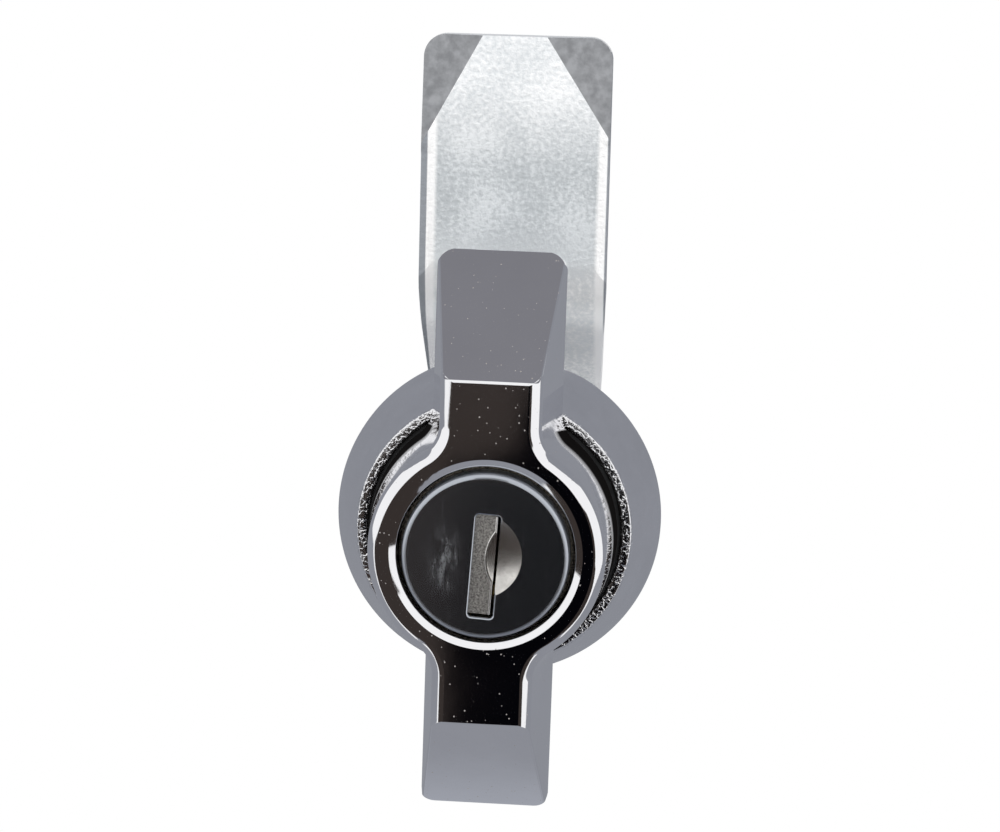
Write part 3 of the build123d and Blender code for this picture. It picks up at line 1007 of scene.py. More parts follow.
@dataclass(frozen=True)
class CamPlate(ZincPlate):
    """The cam's plating with painted light: a painted highlight at the foot and along the borders,
    a painted darker reflection half way up, a painted grey reflection on the long sides, and the
    plain plate at the tip.
    """

    name: str = "cam_zinc_plate"
    dull: Colour = (0.72, 0.75, 0.77)
    metallic: float = 0.45
    mottle: float = 0.0005
    # Painted highlight at the foot of the blade and along the rolled borders.
    painted_highlight: Colour = (1.0, 1.0, 1.0)
    # Painted darker reflection half way up the blade.
    grey: Colour = (0.50, 0.53, 0.55)
    # Painted grey reflection on the long sides.
    edge: Colour = (0.30, 0.32, 0.35)
    # Heights where the painted darker band begins and where the plain plate returns at the tip.
    grey_foot: Point = (0.0225, 0.030)
    bright_tip: Point = (0.036, 0.044)
    # Where the painted border highlight and the painted side reflection begin, across the cam.
    border: float = 0.0088
    border_blend: float = 0.0004
    side: float = 0.0096
    side_blend: float = 0.0001
    lean: float = 0.0087
    offset: float = -0.00037

    @staticmethod
    def beyond(recipe: Recipe, square: Node, line: float, blend: float) -> Node:
        """Say how far a place lies outside a line beside the cam's own middle line.

        Args:
            recipe: The material's tree.
            square: Node that gives the square of the distance from the middle line.
            line: Distance of the line.
            blend: Width over which it fades in.

        Returns:
            A node whose Result goes from 0 to 1.
        """
        return recipe.span(square, "Value", ((line - blend) ** 2, 0.0), (line**2, 1.0))

    def tones(self, recipe: Recipe, shares: Node) -> Node:
        """Colour node: painted light from foot to tip, with a painted highlight on the borders and
        a painted grey reflection on the long sides.

        Args:
            recipe: The material's tree.
            shares: Node that gives the mottling.

        Returns:
            The colour node.
        """
        # Colours of the painted light: highlight, grey side reflection and darker mid reflection.
        painted_highlight = recipe.plain(shares, "Result", self.painted_highlight)
        edge = recipe.plain(shares, "Result", self.edge)
        grey = recipe.ramp(shares, "Result", [(0.1, self.grey), (0.9, self.dull)])
        foot, foot_end = self.grey_foot
        tip, tip_end = self.bright_tip
        # Painted light along the height: highlight at the foot, darker reflection half way up, the
        # plain plate at the tip.
        rise = recipe.along("Z", (foot, 0.0), (foot_end, 1.0))
        stops = [(0.0, self.painted_highlight), (0.5, self.dull), (1.0, self.grey)]
        level = recipe.ramp(rise, "Result", stops)
        blade = recipe.blend(shares, "Result", level, grey)
        end = recipe.along("Z", (tip, 0.0), (tip_end, 1.0))
        colour = recipe.blend(end, "Result", blade, super().tones(recipe, shares))
        across = recipe.along("X", (-0.012, -0.012), (0.012, 0.012))
        lean = recipe.along("Z", (0.0, self.offset), (0.05, self.offset + 0.05 * self.lean))
        place = recipe.maths(across, "Result", lean, "Result")
        square = recipe.maths(place, "Value", place, "Value", "MULTIPLY")
        # Painted highlight on the rolled borders, and painted grey reflection on the long sides
        # outside them.
        rolled = self.beyond(recipe, square, self.border, self.border_blend)
        outside = self.beyond(recipe, square, self.side, self.side_blend)
        colour = recipe.blend(rolled, "Result", colour, painted_highlight)
        return recipe.blend(outside, "Result", colour, edge)


@dataclass(frozen=True)
class Stainless:
    """Polished stainless sheet with a rubbed patch beside the key slot and a few long scratches."""

    name: str = "polished_stainless"
    colour: Colour = (0.50, 0.53, 0.58)
    worn: Colour = (0.78, 0.80, 0.83)
    roughness: float = 0.12
    metallic: float = 0.987
    patch: Point = (-0.0042, -0.0004)
    patch_size: Point = (0.0024, 0.0046)
    scratch_turns: tuple[float, ...] = (-38.0, 52.0)
    rolled: float = 0.0078

    def make(self) -> Material:
        """Build the material.

        Returns:
            The material.
        """
        recipe = Recipe(self.name)
        recipe.set("Metallic", self.metallic)
        across, up = self.patch_size
        shift = (-self.patch[0] / across, 0.0, -self.patch[1] / up)
        rubbed = recipe.away(
            recipe.mapped((1 / across, 0.0, 1 / up), shift=shift), (1.0, 0.0), (0.3, 1.0)
        )
        wisps = recipe.noise(600.0, 8.0, 0.8, recipe.mapped((2.2, 1.0, 0.7), (0, 20, 0)))
        soft = recipe.span(wisps, "Fac", (0.42, 0.0), (0.66, 0.75))
        marks = recipe.maths(rubbed, "Result", soft, "Result", "MULTIPLY")
        for turn in self.scratch_turns:
            lines = recipe.noise(150.0, 1.0, 0.5, recipe.mapped((22.0, 1.0, 0.8), (0, turn, 0)))
            thin = recipe.span(lines, "Fac", (0.70, 0.0), (0.76, 0.16))
            marks = recipe.maths(marks, "Value", thin, "Result", "MAXIMUM")
        colour = recipe.ramp(marks, "Value", [(0.0, self.colour), (1.0, self.worn)])
        recipe.join(colour, "Color", recipe.shader, "Base Color")
        rough = recipe.span(marks, "Value", (0.0, self.roughness), (1.0, 0.5))
        rim = recipe.away(
            recipe.mapped((1.0, 0.0, 1.0)), (self.rolled, 0.0), (self.rolled + 0.0001, 0.22)
        )
        rough = recipe.maths(rough, "Result", rim, "Result")
        recipe.join(rough, "Value", recipe.shader, "Roughness")
        recipe.bump(marks, "Value", 0.000003)
        return recipe.material


@dataclass(frozen=True)
class DieCast:
    """Bare die-cast zinc with a grainy skin."""

    name: str = "die_cast_zinc"
    dark: Colour = (0.20, 0.19, 0.18)
    light: Colour = (0.62, 0.60, 0.57)
    roughness: float = 0.38
    grain: float = 0.00022

    def make(self) -> Material:
        """Build the material.

        Returns:
            The material.
        """
        recipe = Recipe(self.name)
        recipe.set("Metallic", 1.0)
        grain = recipe.noise(1 / self.grain, 3.0, 0.7)
        colour = recipe.ramp(grain, "Fac", [(0.36, self.dark), (0.62, self.light)])
        recipe.join(colour, "Color", recipe.shader, "Base Color")
        rough = recipe.span(grain, "Fac", (0.3, 1.4 * self.roughness), (0.7, self.roughness))
        recipe.join(rough, "Result", recipe.shader, "Roughness")
        recipe.bump(grain, "Fac", 0.00004)
        return recipe.material


@dataclass(frozen=True)
class PlainMetal:
    """A small turned or stamped metal part with tool marks."""

    name: str
    colour: Colour
    roughness: float = 0.28

    def make(self) -> Material:
        """Build the material.

        Returns:
            The material.
        """
        recipe = Recipe(self.name)
        recipe.set("Metallic", 1.0)
        marks = recipe.noise(900.0, 3.0, 0.6)
        dark = tuple(0.8 * c for c in self.colour)
        colour = recipe.ramp(marks, "Fac", [(0.35, dark), (0.65, self.colour)])
        recipe.join(colour, "Color", recipe.shader, "Base Color")
        rough = recipe.span(marks, "Fac", (0.3, 1.3 * self.roughness), (0.7, self.roughness))
        recipe.join(rough, "Result", recipe.shader, "Roughness")
        recipe.bump(marks, "Fac", 0.000008)
        return recipe.material


@dataclass(frozen=True)
class Moulded:
    """Moulded rubber or nylon with a dull, faintly grained skin."""

    name: str
    colour: Colour
    roughness: float = 0.6

    def make(self) -> Material:
        """Build the material.

        Returns:
            The material.
        """
        recipe = Recipe(self.name)
        grain = recipe.noise(1500.0, 3.0, 0.6)
        dark = tuple(0.75 * c for c in self.colour)
        colour = recipe.ramp(grain, "Fac", [(0.35, dark), (0.65, self.colour)])
        recipe.join(colour, "Color", recipe.shader, "Base Color")
        rough = recipe.span(grain, "Fac", (0.3, 1.2 * self.roughness), (0.7, self.roughness))
        recipe.join(rough, "Result", recipe.shader, "Roughness")
        recipe.bump(grain, "Fac", 0.00003)
        return recipe.material


@dataclass(frozen=True)
class Finishes:
    """Every finish of the latch, made once."""

    chrome: Material
    cast_chrome: Material
    zinc: Material
    cam_zinc: Material
    stainless: Material
    die_cast: Material
    painted_shade_cast: Material
    satin: Material
    # Painted highlight: near-white metal for the shutter rib's rounded edge.
    rubbed: Material
    lead_in_grey: Material
    spring_steel: Material
    brass: Material
    rubber: Material
    nylon: Material

    @staticmethod
    def make() -> "Finishes":
        """Build all the materials."""
        return Finishes(
            chrome=Chrome().make(),
            cast_chrome=CastChrome().make(),
            zinc=ZincPlate().make(),
            cam_zinc=CamPlate().make(),
            stainless=Stainless().make(),
            die_cast=DieCast().make(),
            # Painted shade: a near-black copy of the die-cast finish for the parts inside the lock.
            painted_shade_cast=DieCast("painted_shade_cast_zinc", (0.020, 0.017, 0.014), (0.20, 0.18, 0.15)).make(),
            satin=PlainMetal("satin_steel", (0.80, 0.78, 0.75), 0.20).make(),
            # Painted highlight: near-white metal for the shutter rib's rounded edge.
            rubbed=PlainMetal("highlit_rib_edge_steel", (1.0, 0.98, 0.95), 0.20).make(),
            # A darker grey metal for the cam's lead-in faces.
            lead_in_grey=PlainMetal("lead_in_grey_steel", (0.48, 0.49, 0.51), 0.45).make(),
            spring_steel=PlainMetal("spring_steel", (0.42, 0.42, 0.44)).make(),
            brass=PlainMetal("turned_brass", (0.80, 0.60, 0.28)).make(),
            rubber=Moulded("black_rubber", (0.022, 0.022, 0.024)).make(),
            nylon=Moulded("white_nylon", (0.72, 0.71, 0.66), 0.45).make(),
        )


# ---------------------------------------------------------------- sub-assemblies


@dataclass
class BaseAssembly:
    """Conical base with its threaded barrel, onto which the nut clamps it to the panel.
    Millimetres.
    """

    radius: float
    height: float
    barrel_end: float
    rim: float = 0.8
    top_radius: float = 14.1
    edge_round: float = 0.12
    recess_radius: float = 13.0
    recess_floor: float = 2.2
    shaft_bore: float = 6.06
    thread_crest: float = 10.95
    thread_root: float = 10.1
    thread_pitch: float = 1.5
    thread_sink: float = 0.3
    thread_start: float = 1.35
    barrel_flats: float = 19.8
    gasket_outer: float = 15.9
    gasket_inner: float = 13.4
    gasket_groove: float = 1.1
    stop_width: float = 128.0
    stop_start: float = -19.0
    stop_depth: float = 1.95
    stop_inner: float = 7.45
    notch_half: float = 2.6
    notch_start: float = 11.8
    notch_end: float = 14.2
    notch_low: float = 3.95
    notch_high: float = 5.75

    @staticmethod
    def from_frame() -> "BaseAssembly":
        """Take the outer sizes from the frame."""
        place = Place.of("mounting_body")
        return BaseAssembly(radius=place.radius, height=place.top, barrel_end=place.bottom)

    def flange(self) -> Piece:
        """Cone, recess, bore and barrel core, turned in one.

        Returns:
            The turned body.
        """
        body = turned(
            "base",
            [
                (self.radius, 0.0),
                (self.radius, self.rim),
                (self.top_radius, self.height),
                (self.recess_radius, self.height),
                (self.recess_radius, self.recess_floor),
                (self.shaft_bore, self.recess_floor),
                (self.shaft_bore, self.barrel_end),
                (self.thread_root, self.barrel_end),
                (self.thread_root, 0.0),
                (self.gasket_inner, 0.0),
                (self.gasket_inner, self.gasket_groove),
                (self.gasket_outer, self.gasket_groove),
                (self.gasket_outer, 0.0),
            ],
            ROUND_STEPS,
        )

        def at_top(edge: Edge) -> bool:
            """Say whether an edge is one of the rings at the top."""
            level = all(abs(v.co.z - self.height) < TOUCH for v in edge.verts)
            return level and abs(edge.verts[0].co.xy.length - edge.verts[1].co.xy.length) < TOUCH

        return round_edges(body, self.edge_round, 3, at_top)

    def thread(self) -> Piece:
        """One closed helical ridge along the barrel.

        Returns:
            The ridge, ready to be united.
        """
        deselect()
        bpy.ops.mesh.primitive_circle_add(vertices=4, radius=1.0, fill_type="NOTHING")
        ridge = named("thread")
        bpy.ops.object.mode_set(mode="EDIT")
        mesh = bmesh.from_edit_mesh(ridge.data)
        mesh.verts.ensure_lookup_table()
        half = self.thread_pitch * 0.46
        crest = self.thread_pitch * 0.08
        start = self.barrel_end + self.thread_start
        foot = self.thread_root - self.thread_sink
        spots = [
            (foot, -half),
            (self.thread_crest, -crest),
            (self.thread_crest, crest),
            (foot, half),
        ]
        for vertex, (x, z) in zip(mesh.verts, spots):
            vertex.co = (x, 0.0, start + z)
        bmesh.update_edit_mesh(ridge.data)
        bpy.ops.object.mode_set(mode="OBJECT")
        turns = int((-start - self.thread_pitch / 2) / self.thread_pitch)
        take(ridge)
        step = ridge.modifiers.new("helix", "SCREW")
        step.axis = "Z"
        step.steps = 72
        step.render_steps = 72
        step.screw_offset = self.thread_pitch
        step.iterations = turns
        step.use_merge_vertices = False
        bpy.ops.object.modifier_apply(modifier=step.name)
        bpy.ops.object.mode_set(mode="EDIT")
        bpy.ops.mesh.select_mode(type="EDGE")
        bpy.ops.mesh.select_all(action="DESELECT")
        bpy.ops.mesh.select_non_manifold()
        bpy.ops.mesh.edge_face_add()
        return outward(ridge)

    def build(self) -> Piece:
        """Cut the flats, the stop's path and the bolt's notches into the threaded base.

        Returns:
            The base.
        """
        body = combine(self.flange(), self.thread(), "UNION")
        half = self.barrel_flats / 2
        for side in (-1, 1):
            near, far = sorted((side * half, side * self.radius))
            low = (near, -self.radius, self.barrel_end - CLEAR)
            cut(body, block("flat", low, (far, self.radius, 0.0)))
        stop_end = self.stop_start + self.stop_width
        path = ring_sector(self.radius, self.stop_inner, self.stop_start, stop_end)
        floor = self.barrel_end + self.stop_depth
        cut(body, prism("stop", path, self.barrel_end - CLEAR, floor))
        for turn in (0.0, -90.0):
            notch = block(
                "notch",
                (-self.notch_half, -self.notch_end, self.notch_low),
                (self.notch_half, -self.notch_start, self.notch_high),
            )
            cut(body, swung(notch, z=turn))
        return body

    def dress(self, finishes: Finishes) -> None:
        """Build the base and give it its plating."""
        fit(self.build(), Body.HOUSING, Slot.CHROME, finishes.cast_chrome, "mounting_body")


@dataclass
class MountingHardware:
    """Nut and toothed washer behind the panel; the gasket there stays a CAD node. Millimetres."""

    nut: Place
    washer: Place
    nut_flats: float = 27.0
    nut_bore: float = 10.6
    nut_lead: float = 0.6
    nut_face_inset: float = 0.2
    nut_chamfer: float = 1.0
    nut_edge: float = 0.15
    tooth_count: int = 14
    tooth_gap: float = 1.6
    tooth_edge: float = 0.12
    washer_bore: float = 10.7

    @staticmethod
    def from_frame() -> "MountingHardware":
        """Take the places from the frame."""
        return MountingHardware(nut=Place.of("mounting_nut"), washer=Place.of("tooth_washer"))

    def build_nut(self) -> Piece:
        """Hexagon with both faces chamfered, and a bore with a lead-in.

        Returns:
            The nut.
        """
        low, high = self.nut.bottom, self.nut.top
        corner = self.nut_flats / math.sqrt(3)
        nut = prism("nut", hexagon(corner), low, high)
        face = self.nut_flats / 2 - self.nut_face_inset
        rim = corner + self.nut_face_inset
        crown = turned(
            "crown",
            [
                (0, low),
                (face, low),
                (rim, low + self.nut_chamfer),
                (rim, high - self.nut_chamfer),
                (face, high),
                (0, high),
            ],
            ROUND_STEPS,
        )
        combine(nut, crown, "INTERSECT")
        wide = self.nut_bore + self.nut_lead + CLEAR
        bore = turned(
            "bore",
            [
                (0, low - CLEAR),
                (wide, low - CLEAR),
                (self.nut_bore, low + self.nut_lead),
                (self.nut_bore, high - self.nut_lead),
                (wide, high + CLEAR),
                (0, high + CLEAR),
            ],
            ROUND_STEPS,
        )
        cut(nut, bore)
        return soften(outward(nut), self.nut_edge, 2)

    def build_washer(self) -> Piece:
        """Ring with external teeth.

        Returns:
            The washer.
        """
        washer = ring("lock_washer", self.washer, self.washer_bore, ROUND_STEPS)
        reach = self.washer.radius - self.tooth_gap
        half = self.tooth_gap / 2
        for n in range(self.tooth_count):
            gap = block(
                "gap",
                (reach, -half, self.washer.bottom - CLEAR),
                (self.washer.radius + CLEAR, half, self.washer.top + CLEAR),
            )
            cut(washer, swung(gap, z=360 * n / self.tooth_count))
        return soften(washer, self.tooth_edge, 2)

    def dress(self, finishes: Finishes) -> None:
        """Build nut and washer and give them their plating."""
        fit(self.build_nut(), Body.HOUSING, Slot.ZINC_PLATE, finishes.zinc, "mounting_nut")
        fit(self.build_washer(), Body.HOUSING, Slot.ZINC_PLATE, finishes.zinc, "tooth_washer")


@dataclass
class Handle:
    """Handle: hub, two drafted wings with cored backs, skirt, shaft and square. Millimetres."""

    half_length: float
    face: float
    end: float
    underside: float = 8.9
    foot_land: float = 9.4
    hub_face: float = 11.8
    hub_foot: float = 12.7
    skirt: float = 12.4
    skirt_bottom: float = 2.65
    crest: float = 17.4
    half_width: float = 6.6
    draft: float = 8.7
    root_round: float = 3.5
    rim_round: float = 1.2
    crest_share: float = 0.15
    side_share: float = 0.2
    tip_corner: float = 2.0
    tail_corner: float = 1.5
    tail: float = 28.75
    mouth: float = 9.65
    mouth_inner: float = 8.95
    mouth_depth: float = 0.23
    mouth_lip: float = 0.06
    neck_depth: float = 1.9
    neck_slope: float = 0.3
    bore: float = 8.67
    seat: float = 5.85
    well: float = 8.05
    well_floor: float = 5.65
    shaft: float = 6.0
    square: float = 8.0
    shaft_end: float = -16.7
    square_edge: float = 0.3
    screw_hole: float = 2.72
    screw_depth: float = 11.3
    pocket_half: float = 3.6
    pocket_start: float = 14.2
    pocket_wall: float = 2.2
    bolt_half: float = 2.55
    bolt_back: float = 2.65
    bolt_low: float = 4.0
    bolt_high: float = 5.7

    @staticmethod
    def from_frame() -> "Handle":
        """Take the outer sizes from the frame."""
        place = Place.of("wing_handle")
        return Handle(half_length=place.high.y, face=place.top, end=place.bottom)

    def outline(self, height: float) -> Outline:
        """Plan of hub and wings at one height, clockwise from the upper wing's tip.

        Args:
            height: Height above the panel.

        Returns:
            The outline's points.
        """
        rise = height - self.underside
        share = rise / (self.face - self.underside)
        width = self.half_width - rise * math.tan(math.radians(self.draft))
        hub = self.hub_foot + (self.hub_face - self.hub_foot) * share
        drop = max(0.0, height - self.foot_land) / (self.face - self.foot_land)
        length = self.half_length + (self.crest - self.half_length) * drop
        reach = width + self.root_round
        along = math.sqrt((hub + self.root_round) ** 2 - reach**2)
        meet = math.degrees(math.atan2(along, reach))
        quarter = [(0.0, length), (width, length)]
        quarter += arc((reach, along), self.root_round, 180, 180 + meet, 16)
        quarter += arc((0, 0), hub, meet, 0, 28)[1:]
        right = quarter + [(x, -y) for x, y in reversed(quarter[:-1])]
        left = [(-x, y) for x, y in reversed(right[1:-1])]
        return [Vector((x, y, height)) for x, y in right + left]

    def grip(self) -> Piece:
        """Hub and wings with rounded rim and wing ends.

        Returns:
            The grip.
        """
        levels = (self.underside, self.foot_land, self.face)
        grip = lofted("wing_handle_casting", [self.outline(level) for level in levels])

        def share(edge: Edge) -> float:
            """Share of the full round that an edge gets.

            Args:
                edge: The edge.

            Returns:
                1 on the rim of the face, less on the wings' crests and sides, 0 elsewhere.
            """
            ends = [v.co for v in edge.verts]
            level = abs(ends[0].z - ends[1].z) < TOUCH
            if all(abs(abs(p.y) - self.crest) < TOUCH for p in ends) and level:
                return self.crest_share
            if all(abs(p.z - self.face) < TOUCH for p in ends):
                return 1.0
            side = all(abs(p.x) > 1 and abs(p.y) > self.crest - TOUCH for p in ends)
            return self.side_share if side and not level else 0.0

        round_by_weight(grip, self.rim_round, 8, share)
        return combine(grip, self.tips(), "INTERSECT")

    def tips(self) -> Piece:
        """Front outline that rounds the wing ends, raised right through, as a tool.

        Returns:
            The tool.
        """
        slack = 0.02  # keeps the tool off the wings' own sides
        side = self.half_width + slack
        wide, near = self.hub_foot + CLEAR, self.crest - 2 * CLEAR
        upper = (side - self.tip_corner, self.half_length + slack - self.tip_corner)
        lower = (side - self.tail_corner, self.tail_corner - self.tail)
        right = arc(upper, self.tip_corner, 90, 0, 10)
        right += [(side, near), (wide, near), (wide, -near), (side, -near)]
        right += arc(lower, self.tail_corner, 0, -90, 10)
        outline = right + [(-x, y) for x, y in reversed(right)]
        return prism("tips", outline, self.underside - CLEAR, self.face + CLEAR)

    def shank(self) -> Piece:
        """Skirt and shaft below the grip, ending in the square.

        Returns:
            The shank.
        """
        top = self.underside + CLEAR
        shank = turned(
            "shank",
            [
                (0, self.shaft_end),
                (self.shaft, self.shaft_end),
                (self.shaft, self.skirt_bottom),
                (self.skirt, self.skirt_bottom),
                (self.skirt, top),
                (0, top),
            ],
            ROUND_STEPS,
        )
        half = self.square / 2
        bar = block("square", (-half, -half, self.end), (half, half, self.shaft_end + CLEAR))
        soften(bar, self.square_edge, 2)
        return combine(shank, bar, "UNION")

    def pocket(self) -> Piece:
        """Cored space under the upper wing.

        Returns:
            The tool.
        """
        roof = self.face - self.pocket_wall
        slope = (self.face - self.underside) / (self.half_length - self.crest)
        end = self.half_length - self.pocket_wall
        return side_prism(
            "pocket",
            [
                (self.pocket_start, self.underside - CLEAR),
                (end, self.underside - CLEAR),
                (end, self.underside),
                (end - (roof - self.underside) / slope, roof),
                (self.pocket_start, roof),
            ],
            self.pocket_half,
        )

    def bores(self) -> Piece:
        """Cylinder bore with its chamfered mouth and wider neck, and the driver's well.

        Returns:
            The tool.
        """
        flare = (self.mouth - self.mouth_inner) / self.mouth_depth * CLEAR
        neck = self.face - self.neck_depth
        bore = turned(
            "bore",
            [
                (0, self.well_floor),
                (self.well, self.well_floor),
                (self.well, self.seat),
                (self.bore, self.seat),
                (self.bore, neck - self.neck_slope),
                (self.mouth_inner, neck),
                (self.mouth_inner, self.face - self.mouth_depth),
                (self.mouth + flare, self.face + CLEAR),
                (0, self.face + CLEAR),
            ],
            ROUND_STEPS,
        )

        def at_lip(edge: Edge) -> bool:
            """Say whether an edge is the ring where the mouth's countersink ends."""
            return all(
                abs(v.co.xy.length - self.mouth_inner) < 0.01 and v.co.z > neck + TOUCH
                for v in edge.verts
            )

        return round_edges(bore, self.mouth_lip, 7, at_lip)

    def build(self) -> Piece:
        """Grip and shank in one, with every bore and pocket cut.

        Returns:
            The handle.
        """
        handle = combine(self.grip(), self.shank(), "UNION")
        cut(handle, self.bores(), self.pocket(), swung(self.pocket(), z=180))
        channel = block(
            "channel",
            (-self.bolt_half, -self.skirt - CLEAR, self.bolt_low),
            (self.bolt_half, self.bolt_back, self.bolt_high),
        )
        deep = self.end + self.screw_depth
        hole = turned(
            "hole",
            [
                (0, self.end - CLEAR),
                (self.screw_hole, self.end - CLEAR),
                (self.screw_hole, deep),
                (0, deep),
            ],
            SMALL_ROUND_STEPS,
        )
        return cut(handle, channel, hole)

    def dress(self, finishes: Finishes) -> None:
        """Build the handle and give it its plating."""
        fit(
            self.build(),
            Body.HANDLE,
            Slot.CHROME,
            finishes.chrome,
            "wing_handle",
            crease=HANDLE_CREASE,
        )


@dataclass(frozen=True)
class LeadIn:
    """A sloping corner of the cam's tip, 1 on the right and -1 on the left. Millimetres."""

    side: int
    start: float  # where its crease leaves the long side
    top: float    # distance from the middle line where the crease meets the tip


@dataclass
class Cam:
    """Cranked cam with rolled borders and a lead-in at each corner of its tip. Millimetres."""

    back: float
    front: float
    thickness: float = 3.0
    half_bend: float = 22.5
    seat: float = 18.2
    crank_start: float = 21.1
    blade_bend: float = 9.0
    root_bend: float = 1.6
    lean: float = 0.5
    offset: float = 0.12
    shoulder: float = 22.5
    tip_round: float = 2.4
    lead_ins: tuple[LeadIn, ...] = (LeadIn(-1, 38.0, 3.7), LeadIn(1, 38.9, 3.1))
    lead_depth: float = 1.6
    border_fade: float = 1.2
    square: float = 4.05
    half_width: float = 10.0
    reach: float = 49.55
    root: float = 9.0
    border: float = 1.4
    border_depth: float = 0.31
    border_end: float = 0.005
    border_foot: float = 17.1
    edge_round: float = 0.4

    @staticmethod
    def from_frame() -> "Cam":
        """Take the levels from the frame."""
        place = Place.of("cam")
        return Cam(back=place.bottom, front=place.top)

    def blade(self) -> Piece:
        """Bent strip: seat, crank and blade, with its bends rounded.

        Returns:
            The strip.
        """
        mitre = math.tan(math.radians(self.half_bend))
        shift = self.thickness * mitre
        crank_end = self.crank_start - (self.seat + self.front)
        foot = -self.root - CLEAR
        seat_front = (crank_end, -self.seat)
        seat_back = (crank_end + shift, self.back)
        blade_front = (self.crank_start, self.front)
        blade_back = (self.crank_start + shift, self.front - self.thickness)
        bends = {
            seat_front: self.root_bend,
            seat_back: self.root_bend + self.thickness,
            blade_front: self.blade_bend + self.thickness,
            blade_back: self.blade_bend,
        }
        strip = side_prism(
            "cam_blade",
            [
                (foot, -self.seat),
                seat_front,
                blade_front,
                (self.reach, self.front),
                (self.reach, self.front - self.thickness),
                blade_back,
                seat_back,
                (foot, self.back),
            ],
            self.half_width + CLEAR,
        )
        for spot, radius in bends.items():

            def at_bend(edge: Edge, spot: Point = spot) -> bool:
                """Say whether an edge runs across the strip at the bend."""
                return all((v.co.yz - Vector(spot)).length < TOUCH for v in edge.verts)

            round_edges(strip, radius * mitre, 14, at_bend)
        return strip

    def plan(self) -> Piece:
        """Front outline of the cam, raised right through: root, neck and blade.

        Returns:
            The tool.
        """
        tilt = math.degrees(math.acos(self.root / math.hypot(self.half_width, self.shoulder)))
        aim = math.degrees(math.atan2(self.shoulder, self.half_width))
        tangent = aim - tilt
        tip = (self.half_width - self.tip_round, self.reach - self.tip_round)
        right = arc((0, 0), self.root, -90, tangent, 40)
        right += [(self.half_width, self.shoulder)]
        right += arc(tip, self.tip_round, 0, 90, 12)
        outline = right + [(-x, y) for x, y in reversed(right[1:])]
        return prism("plan", outline, self.back - CLEAR, self.front + CLEAR)

    def lead_slope(self, lead: LeadIn) -> tuple[Vector, Vector, Vector]:
        """Where a lead-in's crease starts, its direction, and the way down from it.

        Args:
            lead: The lead-in.

        Returns:
            Start point, unit vector along the crease, and the slope's vector away from it.
        """
        start = Vector((lead.side * self.half_width, lead.start, self.front))
        tip = Vector((lead.side * lead.top, self.reach, self.front))
        along = (tip - start).normalized()
        away = Vector((lead.side * along.y, -lead.side * along.x, 0.0))
        run = (Vector((lead.side * self.half_width, self.reach, self.front)) - start).dot(away)
        return start, along, away + Vector((0.0, 0.0, -self.lead_depth / run))

    def lead_cut(self, lead: LeadIn) -> Piece:
        """Wedge above the sloping corner of the tip, as a tool.

        Args:
            lead: The lead-in.

        Returns:
            The tool.
        """
        start, along, slope = self.lead_slope(lead)
        size, height = 40.0, 9.0  # well past the cam on every side
        level = Vector((slope.x, slope.y, 0.0)) * size + Vector((0.0, 0.0, height))
        corners = []
        for reach in (-size, size):
            line = start + along * reach
            corners.append([line, line + slope * size, line + level])
        return lofted("lead_in", corners)

    def border_cut(self, lead: LeadIn) -> Piece:
        """Wedge above the rolled border along one long edge, running out at the lead-in.

        Args:
            lead: The lead-in where the border ends.

        Returns:
            The tool.
        """
        inner = lead.side * (self.half_width - self.border)
        outer = lead.side * (self.half_width + self.border)
        rings = []
        for along, depth in (
            (self.border_foot, self.border_depth),
            (lead.start - self.border_fade, self.border_depth),
            (lead.start, self.border_end),
        ):
            drop = self.front - 2 * depth
            section = [(inner, self.front), (outer, drop), (outer, self.front + 2 * CLEAR)]
            rings.append([Vector((x, along, z)) for x, z in section])
        return lofted("border", rings)

    def build(self) -> Piece:
        """Blade cut to its outline, with borders, lead-ins, square hole and softened edges.

        Returns:
            The cam.
        """
        blade = combine(self.blade(), self.plan(), "INTERSECT")
        for lead in self.lead_ins:
            cut(blade, self.border_cut(lead), self.lead_cut(lead))
        swung(blade, z=self.lean)
        moved(blade, self.offset, 0, 0)
        hole = block(
            "hole",
            (-self.square, -self.square, self.back - CLEAR),
            (self.square, self.square, CLEAR - self.seat),
        )
        cut(blade, hole)
        return soften(blade, self.edge_round, 8)

    def on_lead_in(self, face: Face) -> bool:
        """Say whether a face of the finished cam is one of its lead-ins.

        Args:
            face: The face, in the frame.

        Returns:
            Whether it is.
        """
        for lead in self.lead_ins:
            _, along, slope = self.lead_slope(lead)
            facing = along.cross(slope).normalized() * lead.side
            wanted = Vector((facing.x, -facing.z, facing.y))
            if abs(face.normal.dot(wanted)) > 0.9985:
                return face.center.z > lead.start * MILLIMETRE
        return False

    def dress(self, finishes: Finishes) -> None:
        """Build the cam, give it its plating and a darker grey on its lead-ins."""
        cam = fit(
            self.build(), Body.HANDLE, Slot.ZINC_PLATE, finishes.cam_zinc, "cam", crease=CAM_CREASE
        )
        dress_faces(cam, finishes.lead_in_grey, self.on_lead_in)


